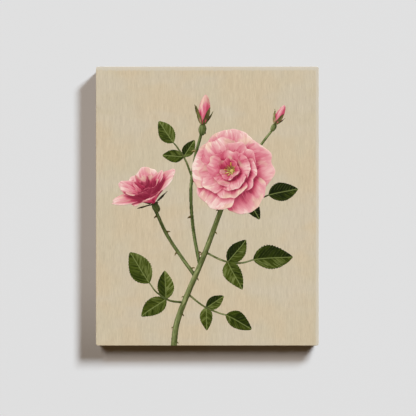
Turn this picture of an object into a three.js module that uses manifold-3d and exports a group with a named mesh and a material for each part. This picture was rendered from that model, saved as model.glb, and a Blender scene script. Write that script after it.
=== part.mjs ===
// A gallery-wrapped stretched canvas, the kind sold as wall art in the 16 by 20 inch size.
//
// Four pine stretcher bars are mitred and tongued at the corners and spread by two small
// wooden keys in each. Cotton canvas runs over the front, round the sides and onto the back,
// where it is folded at the corners and stapled. A sawtooth hanger nailed to the top bar and
// two rubber bumpers at the bottom corners touch the wall.
//
// Millimetres. +X is to the right as the picture is looked at, +Z is up, and +Y points at the
// wall. The origin is the middle of the hanger's back face, so y = 0 is the wall.

import * as THREE from "three";
import { mergeVertices } from "three/addons/utils/BufferGeometryUtils.js";
import Module from "manifold-3d";

const wasm = await Module();
wasm.setup();

// Driving dimensions

const BARS_WIDE = 406; // outside of the bars, 16 in
const BARS_HIGH = 508; // outside of the bars, 20 in
const BAR_DEEP = 37.5; // from the wood's back to the bead that carries the canvas
const BAR_FACE = 38; // width of a bar, seen from behind
const CANVAS = 0.5; // thickness of the primed cotton
const FLAP = 22; // how far the canvas reaches over the bars' backs
const HANGER_STAND = 2.5; // the hanger's and the bumpers' height over the wood
const CLEARANCE = 0.3; // between a piece and the recess cut for it

// The hanger is centred on the strip of bare wood that the flap leaves.
const BARE_STRIP = BAR_FACE - FLAP;
const TOP = BAR_FACE - BARE_STRIP / 2; // the bars' top edge over the hanger's middle
const BOTTOM = TOP - BARS_HIGH;
const MIDDLE = (TOP + BOTTOM) / 2;
const WOOD_BACK = -HANGER_STAND;
const WOOD_FRONT = WOOD_BACK - BAR_DEEP;
const CANVAS_FRONT = WOOD_FRONT - CANVAS;
const FLAP_BACK = WOOD_BACK + CANVAS;

// The canvas rolls over the front edge and round the four upright corners. The bars are
// rounded a little more than the inside of the canvas, so only their flat faces touch it.
const ROLL_INSIDE = 3.5;
const ROLL_OUTSIDE = ROLL_INSIDE + CANVAS;
const ROLL_WOOD = ROLL_INSIDE + 0.75;
const ROLL_STEPS = 5;

const pine = new THREE.MeshStandardMaterial({ color: 0xd9b88a, roughness: 0.75 });
const keyWood = new THREE.MeshStandardMaterial({ color: 0xe3cda4, roughness: 0.7 });
const painted = new THREE.MeshStandardMaterial({ color: 0xccbca0, roughness: 0.85 });
const steel = new THREE.MeshStandardMaterial({ color: 0xb9bcc0, roughness: 0.35, metalness: 1 });
const brassed = new THREE.MeshStandardMaterial({ color: 0xc8a24e, roughness: 0.35, metalness: 1 });
const rubber = new THREE.MeshStandardMaterial({ color: 0x8f8f8c, roughness: 0.6 });

// Helpers: a geometry as a manifold-3d solid, and back

function solidOf(geometry) {
  const bare = new THREE.BufferGeometry();
  const source = geometry.index ? geometry.toNonIndexed() : geometry;
  bare.setAttribute("position", source.getAttribute("position"));
  const merged = mergeVertices(bare, 1e-4);
  return new wasm.Manifold(
    new wasm.Mesh({
      numProp: 3,
      vertProperties: new Float32Array(merged.attributes.position.array),
      triVerts: new Uint32Array(merged.index.array),
    }),
  );
}

function geometryOf(solid) {
  const mesh = solid.getMesh();
  const geometry = new THREE.BufferGeometry();
  geometry.setAttribute("position", new THREE.BufferAttribute(mesh.vertProperties, 3));
  geometry.setIndex(new THREE.BufferAttribute(mesh.triVerts, 1));
  const flat = geometry.toNonIndexed();
  flat.computeVertexNormals();
  return flat;
}

function block(xLow, xHigh, yLow, yHigh, zLow, zHigh) {
  const box = new THREE.BoxGeometry(xHigh - xLow, yHigh - yLow, zHigh - zLow);
  box.translate((xLow + xHigh) / 2, (yLow + yHigh) / 2, (zLow + zHigh) / 2);
  return box;
}

// A plate with an outline in the picture's plane, from yLow to yHigh.
function plate(outline, yLow, yHigh) {
  const shape = new THREE.Shape(outline.map(([x, z]) => new THREE.Vector2(x, z)));
  const geometry = new THREE.ExtrudeGeometry(shape, { depth: yHigh - yLow, bevelEnabled: false });
  // The shape's x, y and extrusion become x, z and -y.
  geometry.applyMatrix4(new THREE.Matrix4().makeBasis(
    new THREE.Vector3(1, 0, 0),
    new THREE.Vector3(0, 0, 1),
    new THREE.Vector3(0, -1, 0),
  ));
  geometry.translate(0, yHigh, 0);
  return geometry;
}

// A closed solid through rings that all have the same number of points.
function loft(rings) {
  const count = rings[0].length;
  const positions = rings.flat().flatMap((p) => [p.x, p.y, p.z]);
  const index = [];
  for (let r = 0; r + 1 < rings.length; r++) {
    for (let i = 0; i < count; i++) {
      const a = r * count + i;
      const b = r * count + ((i + 1) % count);
      index.push(a, b, a + count, b, b + count, a + count);
    }
  }
  for (let i = 1; i + 1 < count; i++) {
    const last = (rings.length - 1) * count;
    index.push(0, i + 1, i, last, last + i, last + i + 1);
  }
  const geometry = new THREE.BufferGeometry();
  geometry.setAttribute("position", new THREE.Float32BufferAttribute(positions, 3));
  geometry.setIndex(index);
  return geometry;
}

// The block that the wrapped canvas makes: a rounded rectangle that narrows at the front by
// a quarter circle. grow is how far it lies outside the bars, roll its radius.
function wrappedBlock(grow, roll, yFront, yBack) {
  const halfWide = BARS_WIDE / 2 + grow;
  const halfHigh = BARS_HIGH / 2 + grow;
  // A sine or cosine can leave a flat side off by a rounding error, and this puts it back.
  const onFlat = (value, half) => (Math.abs(Math.abs(value) - half) < 1e-6 ? Math.sign(value) * half : value);
  const ring = (inset, y) => {
    const points = [];
    const quarters = [[1, 1], [-1, 1], [-1, -1], [1, -1]];
    quarters.forEach(([sx, sz], quarter) => {
      for (let step = 0; step <= ROLL_STEPS; step++) {
        const turn = ((quarter + step / ROLL_STEPS) * Math.PI) / 2;
        const x = sx * (halfWide - roll) + (roll - inset) * Math.cos(turn);
        const z = sz * (halfHigh - roll) + (roll - inset) * Math.sin(turn);
        points.push(new THREE.Vector3(onFlat(x, halfWide), y, MIDDLE + onFlat(z, halfHigh)));
      }
    });
    return points;
  };
  const rings = [ring(0, yBack)];
  for (let step = 0; step < ROLL_STEPS; step++) {
    const turn = ((step / ROLL_STEPS) * Math.PI) / 2;
    rings.push(ring(roll * (1 - Math.cos(turn)), yFront + roll * (1 - Math.sin(turn))));
  }
  // The front's own corners keep a tiny radius, so that no two of their points fall together.
  rings.push(ring(roll - 0.004, yFront));
  return loft(rings);
}

// The stretcher bars

// A bar's section: u runs inwards from its outer edge. The bead along the outer edge carries
// the canvas, and the face falls away behind it so that the wood doesn't print through.
const BEAD = 7;
const BEAD_DROP = 2;
const INNER_DROP = 4.5;
const INNER_CHAMFER = 1.5;
const SECTION = [
  [0, WOOD_BACK],
  [0, WOOD_FRONT],
  [BEAD, WOOD_FRONT],
  [BEAD + 3, WOOD_FRONT + BEAD_DROP],
  [BAR_FACE, WOOD_FRONT + INNER_DROP],
  [BAR_FACE, WOOD_BACK - INNER_CHAMFER],
  [BAR_FACE - INNER_CHAMFER, WOOD_BACK],
];

// A bar of that section with a mitre at both ends, lying along the direction "along" with its
// outer edge towards "out", both unit vectors in the picture's plane.
function mitredBar(length, along, out) {
  const outer = out.x !== 0 ? BARS_WIDE / 2 : BARS_HIGH / 2;
  const place = (s, u, y) => new THREE.Vector3(
    along.x * s + out.x * (outer - u),
    y,
    MIDDLE + along.z * s + out.z * (outer - u),
  );
  const end = (side) => SECTION.map(([u, y]) => place(side * (length / 2 - u - CLEARANCE / 2), u, y));
  return loft([end(-1), end(1)]);
}

// The tongue at the end of the top and bottom bars, in the layer between these depths.
const TONGUE_DEEP = 7;
const TONGUE_BACK = WOOD_BACK - 10;
const TONGUE_INSET_OUT = 9; // from the bar's outer edge
const TONGUE_INSET_IN = 13; // from the bar's inner edge
const TONGUE_REACH = 7; // how near it comes to the side bar's outer face
const TONGUE_ROOT = 3; // how far it runs back into its own bar, past the mitre's inner end

// The tongue's outline, in distances from the corner: along the top or bottom bar, then along
// the side bar. Half of this rectangle lies in its own bar, and the other half sticks out past
// the mitre into the side bar.
function tongueOutline(grow) {
  const near = TONGUE_INSET_OUT - grow;
  const far = BAR_FACE - TONGUE_INSET_IN + grow;
  const reach = TONGUE_REACH - grow;
  const root = far + TONGUE_ROOT;
  return [[reach, near], [root, near], [root, far], [reach, far]];
}

// The keys: thin tapered plates driven into a slot in each bar beside the corner.
const KEY_DEEP = 4;
const KEY_BACK = WOOD_BACK - 19;
const KEY_START = 9; // from the inner corner, along the bar
const KEY_LONG = 26;
const KEY_PROUD = 6; // stands out of the bar's inner edge
const KEY_SUNK_NEAR = 13; // depth in the wood at its corner end
const KEY_SUNK_FAR = 5;
const KEY_FLAT = 2; // its flat stretch at the corner end, and the clipped corner at the other

// A key's outline: s is measured along the bar from the inner corner, t into the wood.
function keyOutline(grow) {
  const near = KEY_START - grow;
  const far = KEY_START + KEY_LONG + grow;
  return [
    [near, -KEY_PROUD],
    [near, KEY_SUNK_NEAR + grow],
    [KEY_START + KEY_FLAT, KEY_SUNK_NEAR + grow],
    [far, KEY_SUNK_FAR + grow],
    [far, KEY_FLAT - KEY_PROUD],
    [far - KEY_FLAT, -KEY_PROUD],
  ];
}

// The four corners, as the signs of x and z.
const CORNERS = [
  { name: "top_right", sx: 1, sz: 1 },
  { name: "top_left", sx: -1, sz: 1 },
  { name: "bottom_left", sx: -1, sz: -1 },
  { name: "bottom_right", sx: 1, sz: -1 },
];

// From distances inwards from a corner of the bars to a point in the picture's plane.
function inFromCorner({ sx, sz }, points) {
  return points.map(([a, b]) => [sx * (BARS_WIDE / 2 - a), MIDDLE + sz * (BARS_HIGH / 2 - b)]);
}

// A key beside a corner, in the bar that lies flat (top or bottom) or in the upright one.
function keyPlate(corner, inUpright, grow) {
  const outline = keyOutline(grow).map(([s, t]) =>
    inUpright ? [BAR_FACE - t, BAR_FACE + s] : [BAR_FACE + s, BAR_FACE - t],
  );
  return plate(inFromCorner(corner, outline), KEY_BACK - KEY_DEEP - grow, KEY_BACK + grow);
}

function tonguePlate(corner, grow) {
  const outline = inFromCorner(corner, tongueOutline(grow));
  return plate(outline, TONGUE_BACK - TONGUE_DEEP - grow, TONGUE_BACK + grow);
}

// The staples: crown and two legs of flat wire

const STAPLE_WIDE = 11;
const WIRE_WIDE = 1.25;
const WIRE_THICK = 0.625;
const STAPLE_LEG = 8;
const STAPLE_LIFT = 0.1; // the crown over the canvas
const STAPLE_INSET = 13; // from the bars' outer edge
const STAPLE_FIRST = 42; // from the corner, past the folded canvas
const STAPLES_FLAT = 7; // in the top and the bottom bar
const STAPLES_UPRIGHT = 9; // in each side bar
const STAPLE_DRIFT = 2.5; // most that one strays along its row
const STAPLE_ASKEW = 8; // most that one is turned, in degrees
const CORNER_STAPLE = { in: 18, down: 7.5, turn: 8 }; // the one that holds the folded corner

// A seeded random number between -1 and 1.
let seed = 7;
function stray() {
  seed = (seed * 16807) % 2147483647;
  return (seed / 2147483647) * 2 - 1;
}

// Staple places: a point in the picture's plane and the direction of the crown, in degrees.
// The crowns lie along the edge, each a little askew, as a hand-held gun leaves them.
function staplePlaces() {
  const places = [];
  const run = (count, half, place) => {
    const reach = half - STAPLE_FIRST;
    for (let i = 0; i < count; i++) {
      const along = reach * ((2 * i) / (count - 1) - 1) + STAPLE_DRIFT * stray();
      places.push({ ...place(along), turn: STAPLE_ASKEW * stray() });
    }
  };
  const halfWide = BARS_WIDE / 2;
  const halfHigh = BARS_HIGH / 2;
  for (const [side, sz] of [["top", 1], ["bottom", -1]]) {
    const z = MIDDLE + sz * (halfHigh - STAPLE_INSET);
    run(STAPLES_FLAT, halfWide, (x) => ({ side, x, z, upright: false }));
  }
  for (const [side, sx] of [["left", -1], ["right", 1]]) {
    const x = sx * (halfWide - STAPLE_INSET);
    run(STAPLES_UPRIGHT, halfHigh, (z) => ({ side, x, z: MIDDLE + z, upright: true }));
  }
  for (const { name, sx, sz } of CORNERS) {
    places.push({
      side: name,
      x: sx * (halfWide - CORNER_STAPLE.in),
      z: MIDDLE + sz * (halfHigh - CORNER_STAPLE.down),
      turn: sx * sz * CORNER_STAPLE.turn,
      lift: CANVAS,
    });
  }
  return places;
}

// A staple, or with grow the slots that its legs need.
function stapleParts({ x, z, turn, upright = false, lift = 0 }, grow) {
  const under = FLAP_BACK + lift + STAPLE_LIFT;
  const tip = under - STAPLE_LEG - grow;
  const half = STAPLE_WIDE / 2;
  const legTop = under + (grow > 0 ? 1 : WIRE_THICK / 2);
  const leg = (side) => block(
    side > 0 ? half - WIRE_THICK - grow : -half - grow,
    side > 0 ? half + grow : WIRE_THICK - half + grow,
    tip, legTop,
    -WIRE_WIDE / 2 - grow, WIRE_WIDE / 2 + grow,
  );
  const parts = [leg(-1), leg(1)];
  if (grow === 0) {
    parts.push(block(-half, half, under, under + WIRE_THICK, -WIRE_WIDE / 2, WIRE_WIDE / 2));
  }
  for (const piece of parts) {
    piece.rotateY(THREE.MathUtils.degToRad(turn + (upright ? 90 : 0)));
    piece.translate(x, 0, z);
  }
  return parts.map(solidOf);
}

// The sawtooth hanger and its nails

const HANGER_LONG = 46;
const HANGER_HIGH = 10;
const HANGER_THICK = 1;
const HANGER_TAB = 9; // the flat end that the nail goes through
const HANGER_SLOPE = 3;
const NOTCHES = 8; // along the lower edge of the raised middle
const NOTCH_PITCH = 2.5;
const NOTCH_HALF = 1.05;
const NOTCH_DEEP = 2;
const NAIL_RADIUS = 0.75;
const NAIL_HEAD_RADIUS = 2.25;
const NAIL_HEAD_HIGH = 0.75;
const NAIL_LONG = 14;
const NAIL_POINT = 2;
const NAIL_LIFT = 0.05; // the head over the strip
const NAIL_X = HANGER_LONG / 2 - HANGER_TAB / 2;

// The strip steps up from its two ends, which lie on the wood, to the toothed middle.
function hangerSolid() {
  const half = HANGER_LONG / 2;
  const low = WOOD_BACK;
  const rise = HANGER_STAND - HANGER_THICK;
  const side = [
    [half, 0], [half - HANGER_TAB, 0], [half - HANGER_TAB - HANGER_SLOPE, rise],
  ];
  const lowerLine = [...side, ...side.map(([x, y]) => [-x, y]).reverse()];
  const upperLine = lowerLine.map(([x, y]) => [x, y + HANGER_THICK]).reverse();
  const outline = [...lowerLine, ...upperLine].map(([x, y]) => new THREE.Vector2(x, y + low));
  const strip = new THREE.ExtrudeGeometry(new THREE.Shape(outline), {
    depth: HANGER_HIGH, bevelEnabled: false,
  });
  strip.translate(0, 0, -HANGER_HIGH / 2);
  let solid = solidOf(strip);
  const edge = -HANGER_HIGH / 2;
  for (let i = 0; i < NOTCHES; i++) {
    const x = (i - (NOTCHES - 1) / 2) * NOTCH_PITCH;
    const notch = [[x - NOTCH_HALF, edge - 1], [x + NOTCH_HALF, edge - 1], [x, edge + NOTCH_DEEP]];
    solid = solid.subtract(solidOf(plate(notch, low, 1)));
  }
  for (const sx of [-1, 1]) solid = solid.subtract(nailHole(sx));
  return solid;
}

// The hole of one nail, through the hanger and into the top bar.
function nailHole(sx) {
  const radius = NAIL_RADIUS + CLEARANCE;
  const cylinder = new THREE.CylinderGeometry(radius, radius, NAIL_LONG + 1, 16);
  cylinder.translate(sx * NAIL_X, WOOD_BACK + (1 - NAIL_LONG) / 2, 0);
  return solidOf(cylinder);
}

// A nail with a low domed head, point towards -Y.
function nailGeometry() {
  const seat = WOOD_BACK + HANGER_THICK + NAIL_LIFT;
  const profile = [
    [0, seat - NAIL_LONG],
    [NAIL_RADIUS, seat - NAIL_LONG + NAIL_POINT],
    [NAIL_RADIUS, seat],
    [NAIL_HEAD_RADIUS, seat],
    [NAIL_HEAD_RADIUS * 0.93, seat + NAIL_HEAD_HIGH * 0.5],
    [NAIL_HEAD_RADIUS * 0.6, seat + NAIL_HEAD_HIGH * 0.9],
    [0, seat + NAIL_HEAD_HIGH],
  ];
  return new THREE.LatheGeometry(profile.map(([r, y]) => new THREE.Vector2(r, y)), 20);
}

// The bumpers: flat-topped rubber discs at the bottom corners

const BUMPER_RADIUS = 5;
const BUMPER_X = BARS_WIDE / 2 - BAR_FACE + BARE_STRIP / 2;
const BUMPER_Z = BOTTOM + BAR_FACE - BARE_STRIP / 2;

function bumperGeometry() {
  const profile = [
    [0, WOOD_BACK],
    [BUMPER_RADIUS, WOOD_BACK],
    [BUMPER_RADIUS, WOOD_BACK + HANGER_STAND * 0.4],
    [BUMPER_RADIUS - 0.45, WOOD_BACK + HANGER_STAND * 0.75],
    [BUMPER_RADIUS - 1.5, 0],
    [0, 0],
  ];
  return new THREE.LatheGeometry(profile.map(([r, y]) => new THREE.Vector2(r, y)), 24);
}

// The canvas: a second layer of it lies in the folded corners, on the back and on the sides

const LAYER_SUNK = 0.2; // how far a second layer is rooted in the one below it
const FOLD_EDGE = 0.5; // how near it comes to the outer edge
const FOLD_RUN = 12; // how far its hem lies past the side flap, at the outer edge
const FOLD_RUN_INSIDE = 6; // and at the flap's own edge
const TUCK_SLANT = 0.8; // the tuck's width at the back, as a share of the bar's depth

// On the back, the top and bottom flaps lie over the side flaps and end in a diagonal fold.
function cornerFold(corner) {
  const fold = [
    [3 * FOLD_EDGE, 3 * FOLD_EDGE],
    [FLAP, FLAP],
    [FLAP + FOLD_RUN_INSIDE, FLAP],
    [FLAP + FOLD_RUN, FOLD_EDGE],
    [5 * FOLD_EDGE, FOLD_EDGE],
  ];
  return plate(inFromCorner(corner, fold), FLAP_BACK - LAYER_SUNK, FLAP_BACK + CANVAS);
}

// On the top and bottom sides, the tuck is a triangle with its fold running to the front.
function sideTuck({ sx, sz }) {
  const edge = BARS_WIDE / 2 - ROLL_INSIDE;
  const tuck = new THREE.Shape([
    new THREE.Vector2(sx * edge, WOOD_FRONT + ROLL_INSIDE),
    new THREE.Vector2(sx * edge, WOOD_BACK),
    new THREE.Vector2(sx * (edge - BAR_DEEP * TUCK_SLANT), WOOD_BACK),
  ]);
  const geometry = new THREE.ExtrudeGeometry(tuck, { depth: CANVAS, bevelEnabled: false });
  const skin = BARS_HIGH / 2 + CANVAS - LAYER_SUNK;
  geometry.translate(0, 0, MIDDLE + (sz > 0 ? skin : -skin - CANVAS));
  return geometry;
}

const staples = staplePlaces();
const legSlots = staples.flatMap((place) => stapleParts(place, CLEARANCE));

const outside = solidOf(wrappedBlock(CANVAS, ROLL_OUTSIDE, CANVAS_FRONT, FLAP_BACK));
const inside = solidOf(wrappedBlock(0, ROLL_INSIDE, WOOD_FRONT, WOOD_BACK));
const backHole = solidOf(block(
  FLAP - BARS_WIDE / 2, BARS_WIDE / 2 - FLAP,
  WOOD_BACK - 1, FLAP_BACK + 2 * CANVAS,
  BOTTOM + FLAP, TOP - FLAP,
));
let canvas = outside.subtract(inside).subtract(backHole);
for (const corner of CORNERS) {
  canvas = canvas.add(solidOf(cornerFold(corner))).add(solidOf(sideTuck(corner)));
}
for (const slot of legSlots) canvas = canvas.subtract(slot);

// The bars, with their joints, key slots, staple slots and nail holes

const envelope = solidOf(wrappedBlock(0, ROLL_WOOD, WOOD_FRONT, WOOD_BACK));
const BARS = [
  { name: "stretcher_top", length: BARS_WIDE, along: { x: 1, z: 0 }, out: { x: 0, z: 1 } },
  { name: "stretcher_bottom", length: BARS_WIDE, along: { x: -1, z: 0 }, out: { x: 0, z: -1 } },
  { name: "stretcher_left", length: BARS_HIGH, along: { x: 0, z: 1 }, out: { x: -1, z: 0 } },
  { name: "stretcher_right", length: BARS_HIGH, along: { x: 0, z: -1 }, out: { x: 1, z: 0 } },
];

function barSolid({ length, along, out }) {
  let bar = solidOf(mitredBar(length, along, out)).intersect(envelope);
  const upright = out.x !== 0;
  for (const corner of CORNERS) {
    const onThisBar = upright ? corner.sx === out.x : corner.sz === out.z;
    if (!onThisBar) continue;
    bar = upright
      ? bar.subtract(solidOf(tonguePlate(corner, CLEARANCE)))
      : bar.add(solidOf(tonguePlate(corner, 0)));
    bar = bar.subtract(solidOf(keyPlate(corner, upright, CLEARANCE)));
  }
  for (const slot of legSlots) bar = bar.subtract(slot);
  if (out.z > 0) {
    for (const sx of [-1, 1]) bar = bar.subtract(nailHole(sx));
  }
  return bar;
}

// The finished part

const part = new THREE.Group();

function add(name, geometry, material) {
  const mesh = new THREE.Mesh(geometry, material);
  mesh.name = name;
  part.add(mesh);
  return mesh;
}

add("canvas", geometryOf(canvas), painted);
for (const bar of BARS) add(bar.name, geometryOf(barSolid(bar)), pine);

for (const corner of CORNERS) {
  add("key_" + corner.name + "_flat", keyPlate(corner, false, 0), keyWood);
  add("key_" + corner.name + "_upright", keyPlate(corner, true, 0), keyWood);
}

const numbers = {};
for (const place of staples) {
  numbers[place.side] = (numbers[place.side] ?? 0) + 1;
  const solid = stapleParts(place, 0).reduce((whole, piece) => whole.add(piece));
  add("staple_" + place.side + "_" + numbers[place.side], geometryOf(solid), steel);
}

add("sawtooth_hanger", geometryOf(hangerSolid()), brassed);
for (const [side, sx] of [["left", -1], ["right", 1]]) {
  add("hanger_nail_" + side, nailGeometry(), brassed).position.x = sx * NAIL_X;
  add("bumper_" + side, bumperGeometry(), rubber).position.set(sx * BUMPER_X, 0, BUMPER_Z);
}

export default part;
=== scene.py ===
# %% [markdown]
# # A stretched canvas with a painted spray of wild roses
# The part is wall art of the 16 by 20 inch kind: cotton canvas drawn over four pine bars, painted on
# its face and sides, stapled behind and hung on a sawtooth strip. The solids of the bars, keys,
# staples and hanger come from the frame and only need their finish. Here the canvas is made again as
# cloth, and the painting is laid on it.

# %% Load the frame
import math

import bmesh
import bpy
import numpy as np
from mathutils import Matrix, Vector
from mathutils.bvhtree import BVHTree


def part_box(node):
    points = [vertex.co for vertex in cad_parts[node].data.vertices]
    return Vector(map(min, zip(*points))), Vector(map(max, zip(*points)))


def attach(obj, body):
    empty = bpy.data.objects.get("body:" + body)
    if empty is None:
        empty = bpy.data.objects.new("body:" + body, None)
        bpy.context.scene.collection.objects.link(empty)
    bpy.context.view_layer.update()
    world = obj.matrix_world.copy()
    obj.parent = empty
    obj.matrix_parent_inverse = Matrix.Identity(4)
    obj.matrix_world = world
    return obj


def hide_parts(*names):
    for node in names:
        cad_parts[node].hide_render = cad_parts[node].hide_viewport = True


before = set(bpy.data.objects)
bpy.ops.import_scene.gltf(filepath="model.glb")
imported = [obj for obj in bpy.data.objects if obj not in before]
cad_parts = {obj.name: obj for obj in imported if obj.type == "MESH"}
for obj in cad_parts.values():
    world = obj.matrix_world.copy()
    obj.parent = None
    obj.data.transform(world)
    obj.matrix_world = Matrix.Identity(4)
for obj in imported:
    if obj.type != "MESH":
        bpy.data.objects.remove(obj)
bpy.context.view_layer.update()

# %% [markdown]
# ## Sizes
# Everything is worked out from the boxes of the canvas and of the top bar, so the cloth and the
# painting sit where the wood is. The cloth's coordinates are in millimetres, measured from the middle
# of the face, as a framer would mark them.

# %% Sizes
MM = 0.001


def box(node):
    """The two corners of a node's box, in mm."""
    return np.array(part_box(node)) / MM


CLOTH_LOW, CLOTH_HIGH = box("canvas")
WIDE, _, HIGH = CLOTH_HIGH - CLOTH_LOW
MIDDLE_X, _, MIDDLE_Z = (CLOTH_HIGH + CLOTH_LOW) / 2 * MM
FRONT, WOOD_BACK = CLOTH_LOW[1], box("stretcher_top")[1][1]
CLOTH = 0.5
FLAP, FLAP_BACK = 22.0, WOOD_BACK + CLOTH
ROLL, EDGE_ROLL, BACK_ROLL = 4.0, 1.0, 0.9
print(f"face {WIDE:.1f} x {HIGH:.1f} mm, front at y {FRONT:.1f} mm, flap at y {FLAP_BACK:.1f} mm")

# %% [markdown]
# ## Camera
# The photograph looks straight at the face. Its scale comes from the face's width in pixels, and its
# distance from the wall behind, which is one canvas depth further back and so drawn a little smaller.

# %% Camera
PHOTO, SENSOR = 416, 36
FACE_LEFT, FACE_RIGHT, FACE_TOP, FACE_BOTTOM = 95.9, 318.8, 66.6, 345.6
WALL_SCALE = 0.98
PIXEL = WIDE * MM / (FACE_RIGHT - FACE_LEFT)
DISTANCE = -FRONT * MM * WALL_SCALE / (1 - WALL_SCALE)


def add_object(name, data):
    made = bpy.data.objects.new(name, data)
    bpy.context.collection.objects.link(made)
    return made


def on_wall(column, row):
    """The place on the wall (x, z) that the photograph shows at a column and a row of pixels."""
    right, down = ((place - PHOTO / 2) * PIXEL / WALL_SCALE for place in (column, row))
    return camera.location.x + right, camera.location.z - down


camera = add_object("camera", bpy.data.cameras.new("camera"))
camera.data.sensor_width = SENSOR
camera.data.lens = SENSOR * DISTANCE / (PHOTO * PIXEL)
camera.location = (
    MIDDLE_X + (PHOTO - FACE_LEFT - FACE_RIGHT) / 2 * PIXEL,
    FRONT * MM - DISTANCE,
    MIDDLE_Z - (PHOTO - FACE_TOP - FACE_BOTTOM) / 2 * PIXEL,
)
camera.rotation_euler = (math.radians(90), 0, 0)
bpy.context.scene.camera = camera
print(f"camera {DISTANCE:.3f} m from the face, lens {camera.data.lens:.1f} mm")

# %% [markdown]
# ## Colours as they look
# Paint is mixed to look right under the room's light, so colours are given as they look there, from
# 0 to 255, and turned into what the surface must reflect. A white wall doesn't reflect all light, and
# the room's brightness on the wall is known, so one division does it.

# %% Colours
ROOM, MOST = 0.93, 0.97


def seen(*colour):
    """The reflectance that looks like this colour (red, green, blue) on the wall's plane."""
    shares = [part / 255 for part in colour]
    linear = [x / 12.92 if x <= 0.04045 else ((x + 0.055) / 1.055) ** 2.4 for x in shares]
    return tuple(min(MOST, x / ROOM) for x in linear)


print("the wall reflects", [round(x, 3) for x in seen(224, 224, 224)])

# %% [markdown]
# ## Finishes as expressions
# A material is a graph of nodes, which soon grows hard to read as code. Here one class stands for the
# output of a node, so that `1 - mask * 0.5` adds the Math nodes for it, and a second one stands for
# the graph. Its `node` method makes any other node from its type, its settings and its inputs.

# %% A node's output as a value
class Value:
    def __init__(self, graph, socket):
        self.graph, self.socket = graph, socket

    def math(self, operation, other=0.0, flipped=False):
        inputs = {0: other, 1: self} if flipped else {0: self, 1: other}
        return self.graph.node("ShaderNodeMath", {"operation": operation}, inputs)

    def step(self, low, high):
        """0 below low and 1 above high, with a smooth rise between them."""
        settings = {"interpolation_type": "SMOOTHSTEP", "clamp": True}
        return self.graph.node("ShaderNodeMapRange", settings, {0: self, 1: low, 2: high})


def sign(operation, flipped=False):
    return lambda value, other: value.math(operation, other, flipped)


Value.__add__ = Value.__radd__ = sign("ADD")
Value.__mul__ = Value.__rmul__ = sign("MULTIPLY")
Value.__sub__, Value.__rsub__ = sign("SUBTRACT"), sign("SUBTRACT", flipped=True)
Value.__truediv__ = sign("DIVIDE")


# %% A graph that is built with values
class Graph:
    def __init__(self, tree):
        self.tree = tree

    def node(self, kind, settings=(), inputs=(), output=0):
        made = self.tree.nodes.new(kind)
        for name, value in dict(settings).items():
            setattr(made, name, value)
        for name, value in dict(inputs).items():
            if isinstance(value, Value):
                self.tree.links.new(value.socket, made.inputs[name])
            else:
                made.inputs[name].default_value = value
        return Value(self, made.outputs[output])

    def carried(self, name, output=2):
        """A value that the mesh carries at its points: output 1 is a vector, and 2 a number."""
        return self.node("ShaderNodeAttribute", {"attribute_name": name}, output=output)

    def stretched(self, vector, x, y, z=1.0):
        """A vector, turned into steps of these sizes."""
        scale = (1 / x, 1 / y, 1 / z)
        return self.node("ShaderNodeVectorMath", {"operation": "MULTIPLY"}, {0: vector, 1: scale})

    def split(self, vector):
        x = self.node("ShaderNodeSeparateXYZ", {}, {0: vector})
        return [Value(self, output) for output in x.socket.node.outputs]

    def noise(self, vector, detail=2.0, scale=1.0):
        return self.node("ShaderNodeTexNoise", {}, {"Vector": vector, "Scale": scale, "Detail": detail})

    def ramp(self, value, stops):
        """A scale of colours, each with its place on it."""
        made = self.node("ShaderNodeValToRGB", {}, {0: value})
        elements = made.socket.node.color_ramp.elements
        while len(elements) < len(stops):
            elements.new(0.5)
        for element, (place, *colour) in zip(elements, stops):
            element.position, element.color = place, (*seen(*colour), 1)
        return made

    def mix(self, factor, first, second, blend="MIX"):
        first, second = ((*seen(*c), 1) if isinstance(c, tuple) else c for c in (first, second))
        settings = {"data_type": "RGBA", "blend_type": blend}
        return self.node("ShaderNodeMix", settings, {0: factor, 6: first, 7: second}, 2)

    def bump(self, height, distance, strength):
        inputs = {"Height": height, "Distance": distance * MM, "Strength": strength}
        return self.node("ShaderNodeBump", {}, inputs)


# %% A material's graph
class Finish(Graph):
    """A material. Its constants and links are named after the shader's sockets."""

    def __init__(self, name, **constants):
        self.material = bpy.data.materials.new(name)
        self.material.use_nodes = True
        super().__init__(self.material.node_tree)
        self.shader = self.tree.nodes["Principled BSDF"]
        for socket, value in constants.items():
            self.shader.inputs[socket.replace("_", " ")].default_value = value

    def wear(self, **links):
        for socket, value in links.items():
            self.tree.links.new(value.socket, self.shader.inputs[socket.replace("_", " ")])
        return self.material


# %% [markdown]
# ## Wall and light
# The photograph has a plain pale wall. A soft lamp from the upper right throws the wide shadow to the
# left, and one from above throws the shadow below. Where both are cut off, under the canvas, a dark
# warm band is left. The wall lets the lamps behind it through and can't be seen from behind, so that
# the back of the canvas can be looked at as well. It is made in parts, for the lamps below. The strips
# at the lower left are as high as the shadow there takes to get one step deeper.

# %% Wall paint
wall_paint = Finish("wall_paint", Base_Color=(*seen(224, 224, 224), 1), Roughness=0.9,
                    Specular_IOR_Level=0.0)
shadow_ray = wall_paint.node("ShaderNodeLightPath", output="Is Shadow Ray")
unseen = wall_paint.node("ShaderNodeNewGeometry", output="Backfacing").math("MAXIMUM", shadow_ray)
paint = Value(wall_paint, wall_paint.shader.outputs[0])
clear = wall_paint.node("ShaderNodeBsdfTransparent")
shown = wall_paint.node("ShaderNodeMixShader", {}, {0: unseen, 1: paint, 2: clear})
wall_paint.tree.links.new(shown.socket, wall_paint.tree.nodes["Material Output"].inputs[0])
print("the wall's paint has", len(wall_paint.tree.nodes), "nodes")

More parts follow.
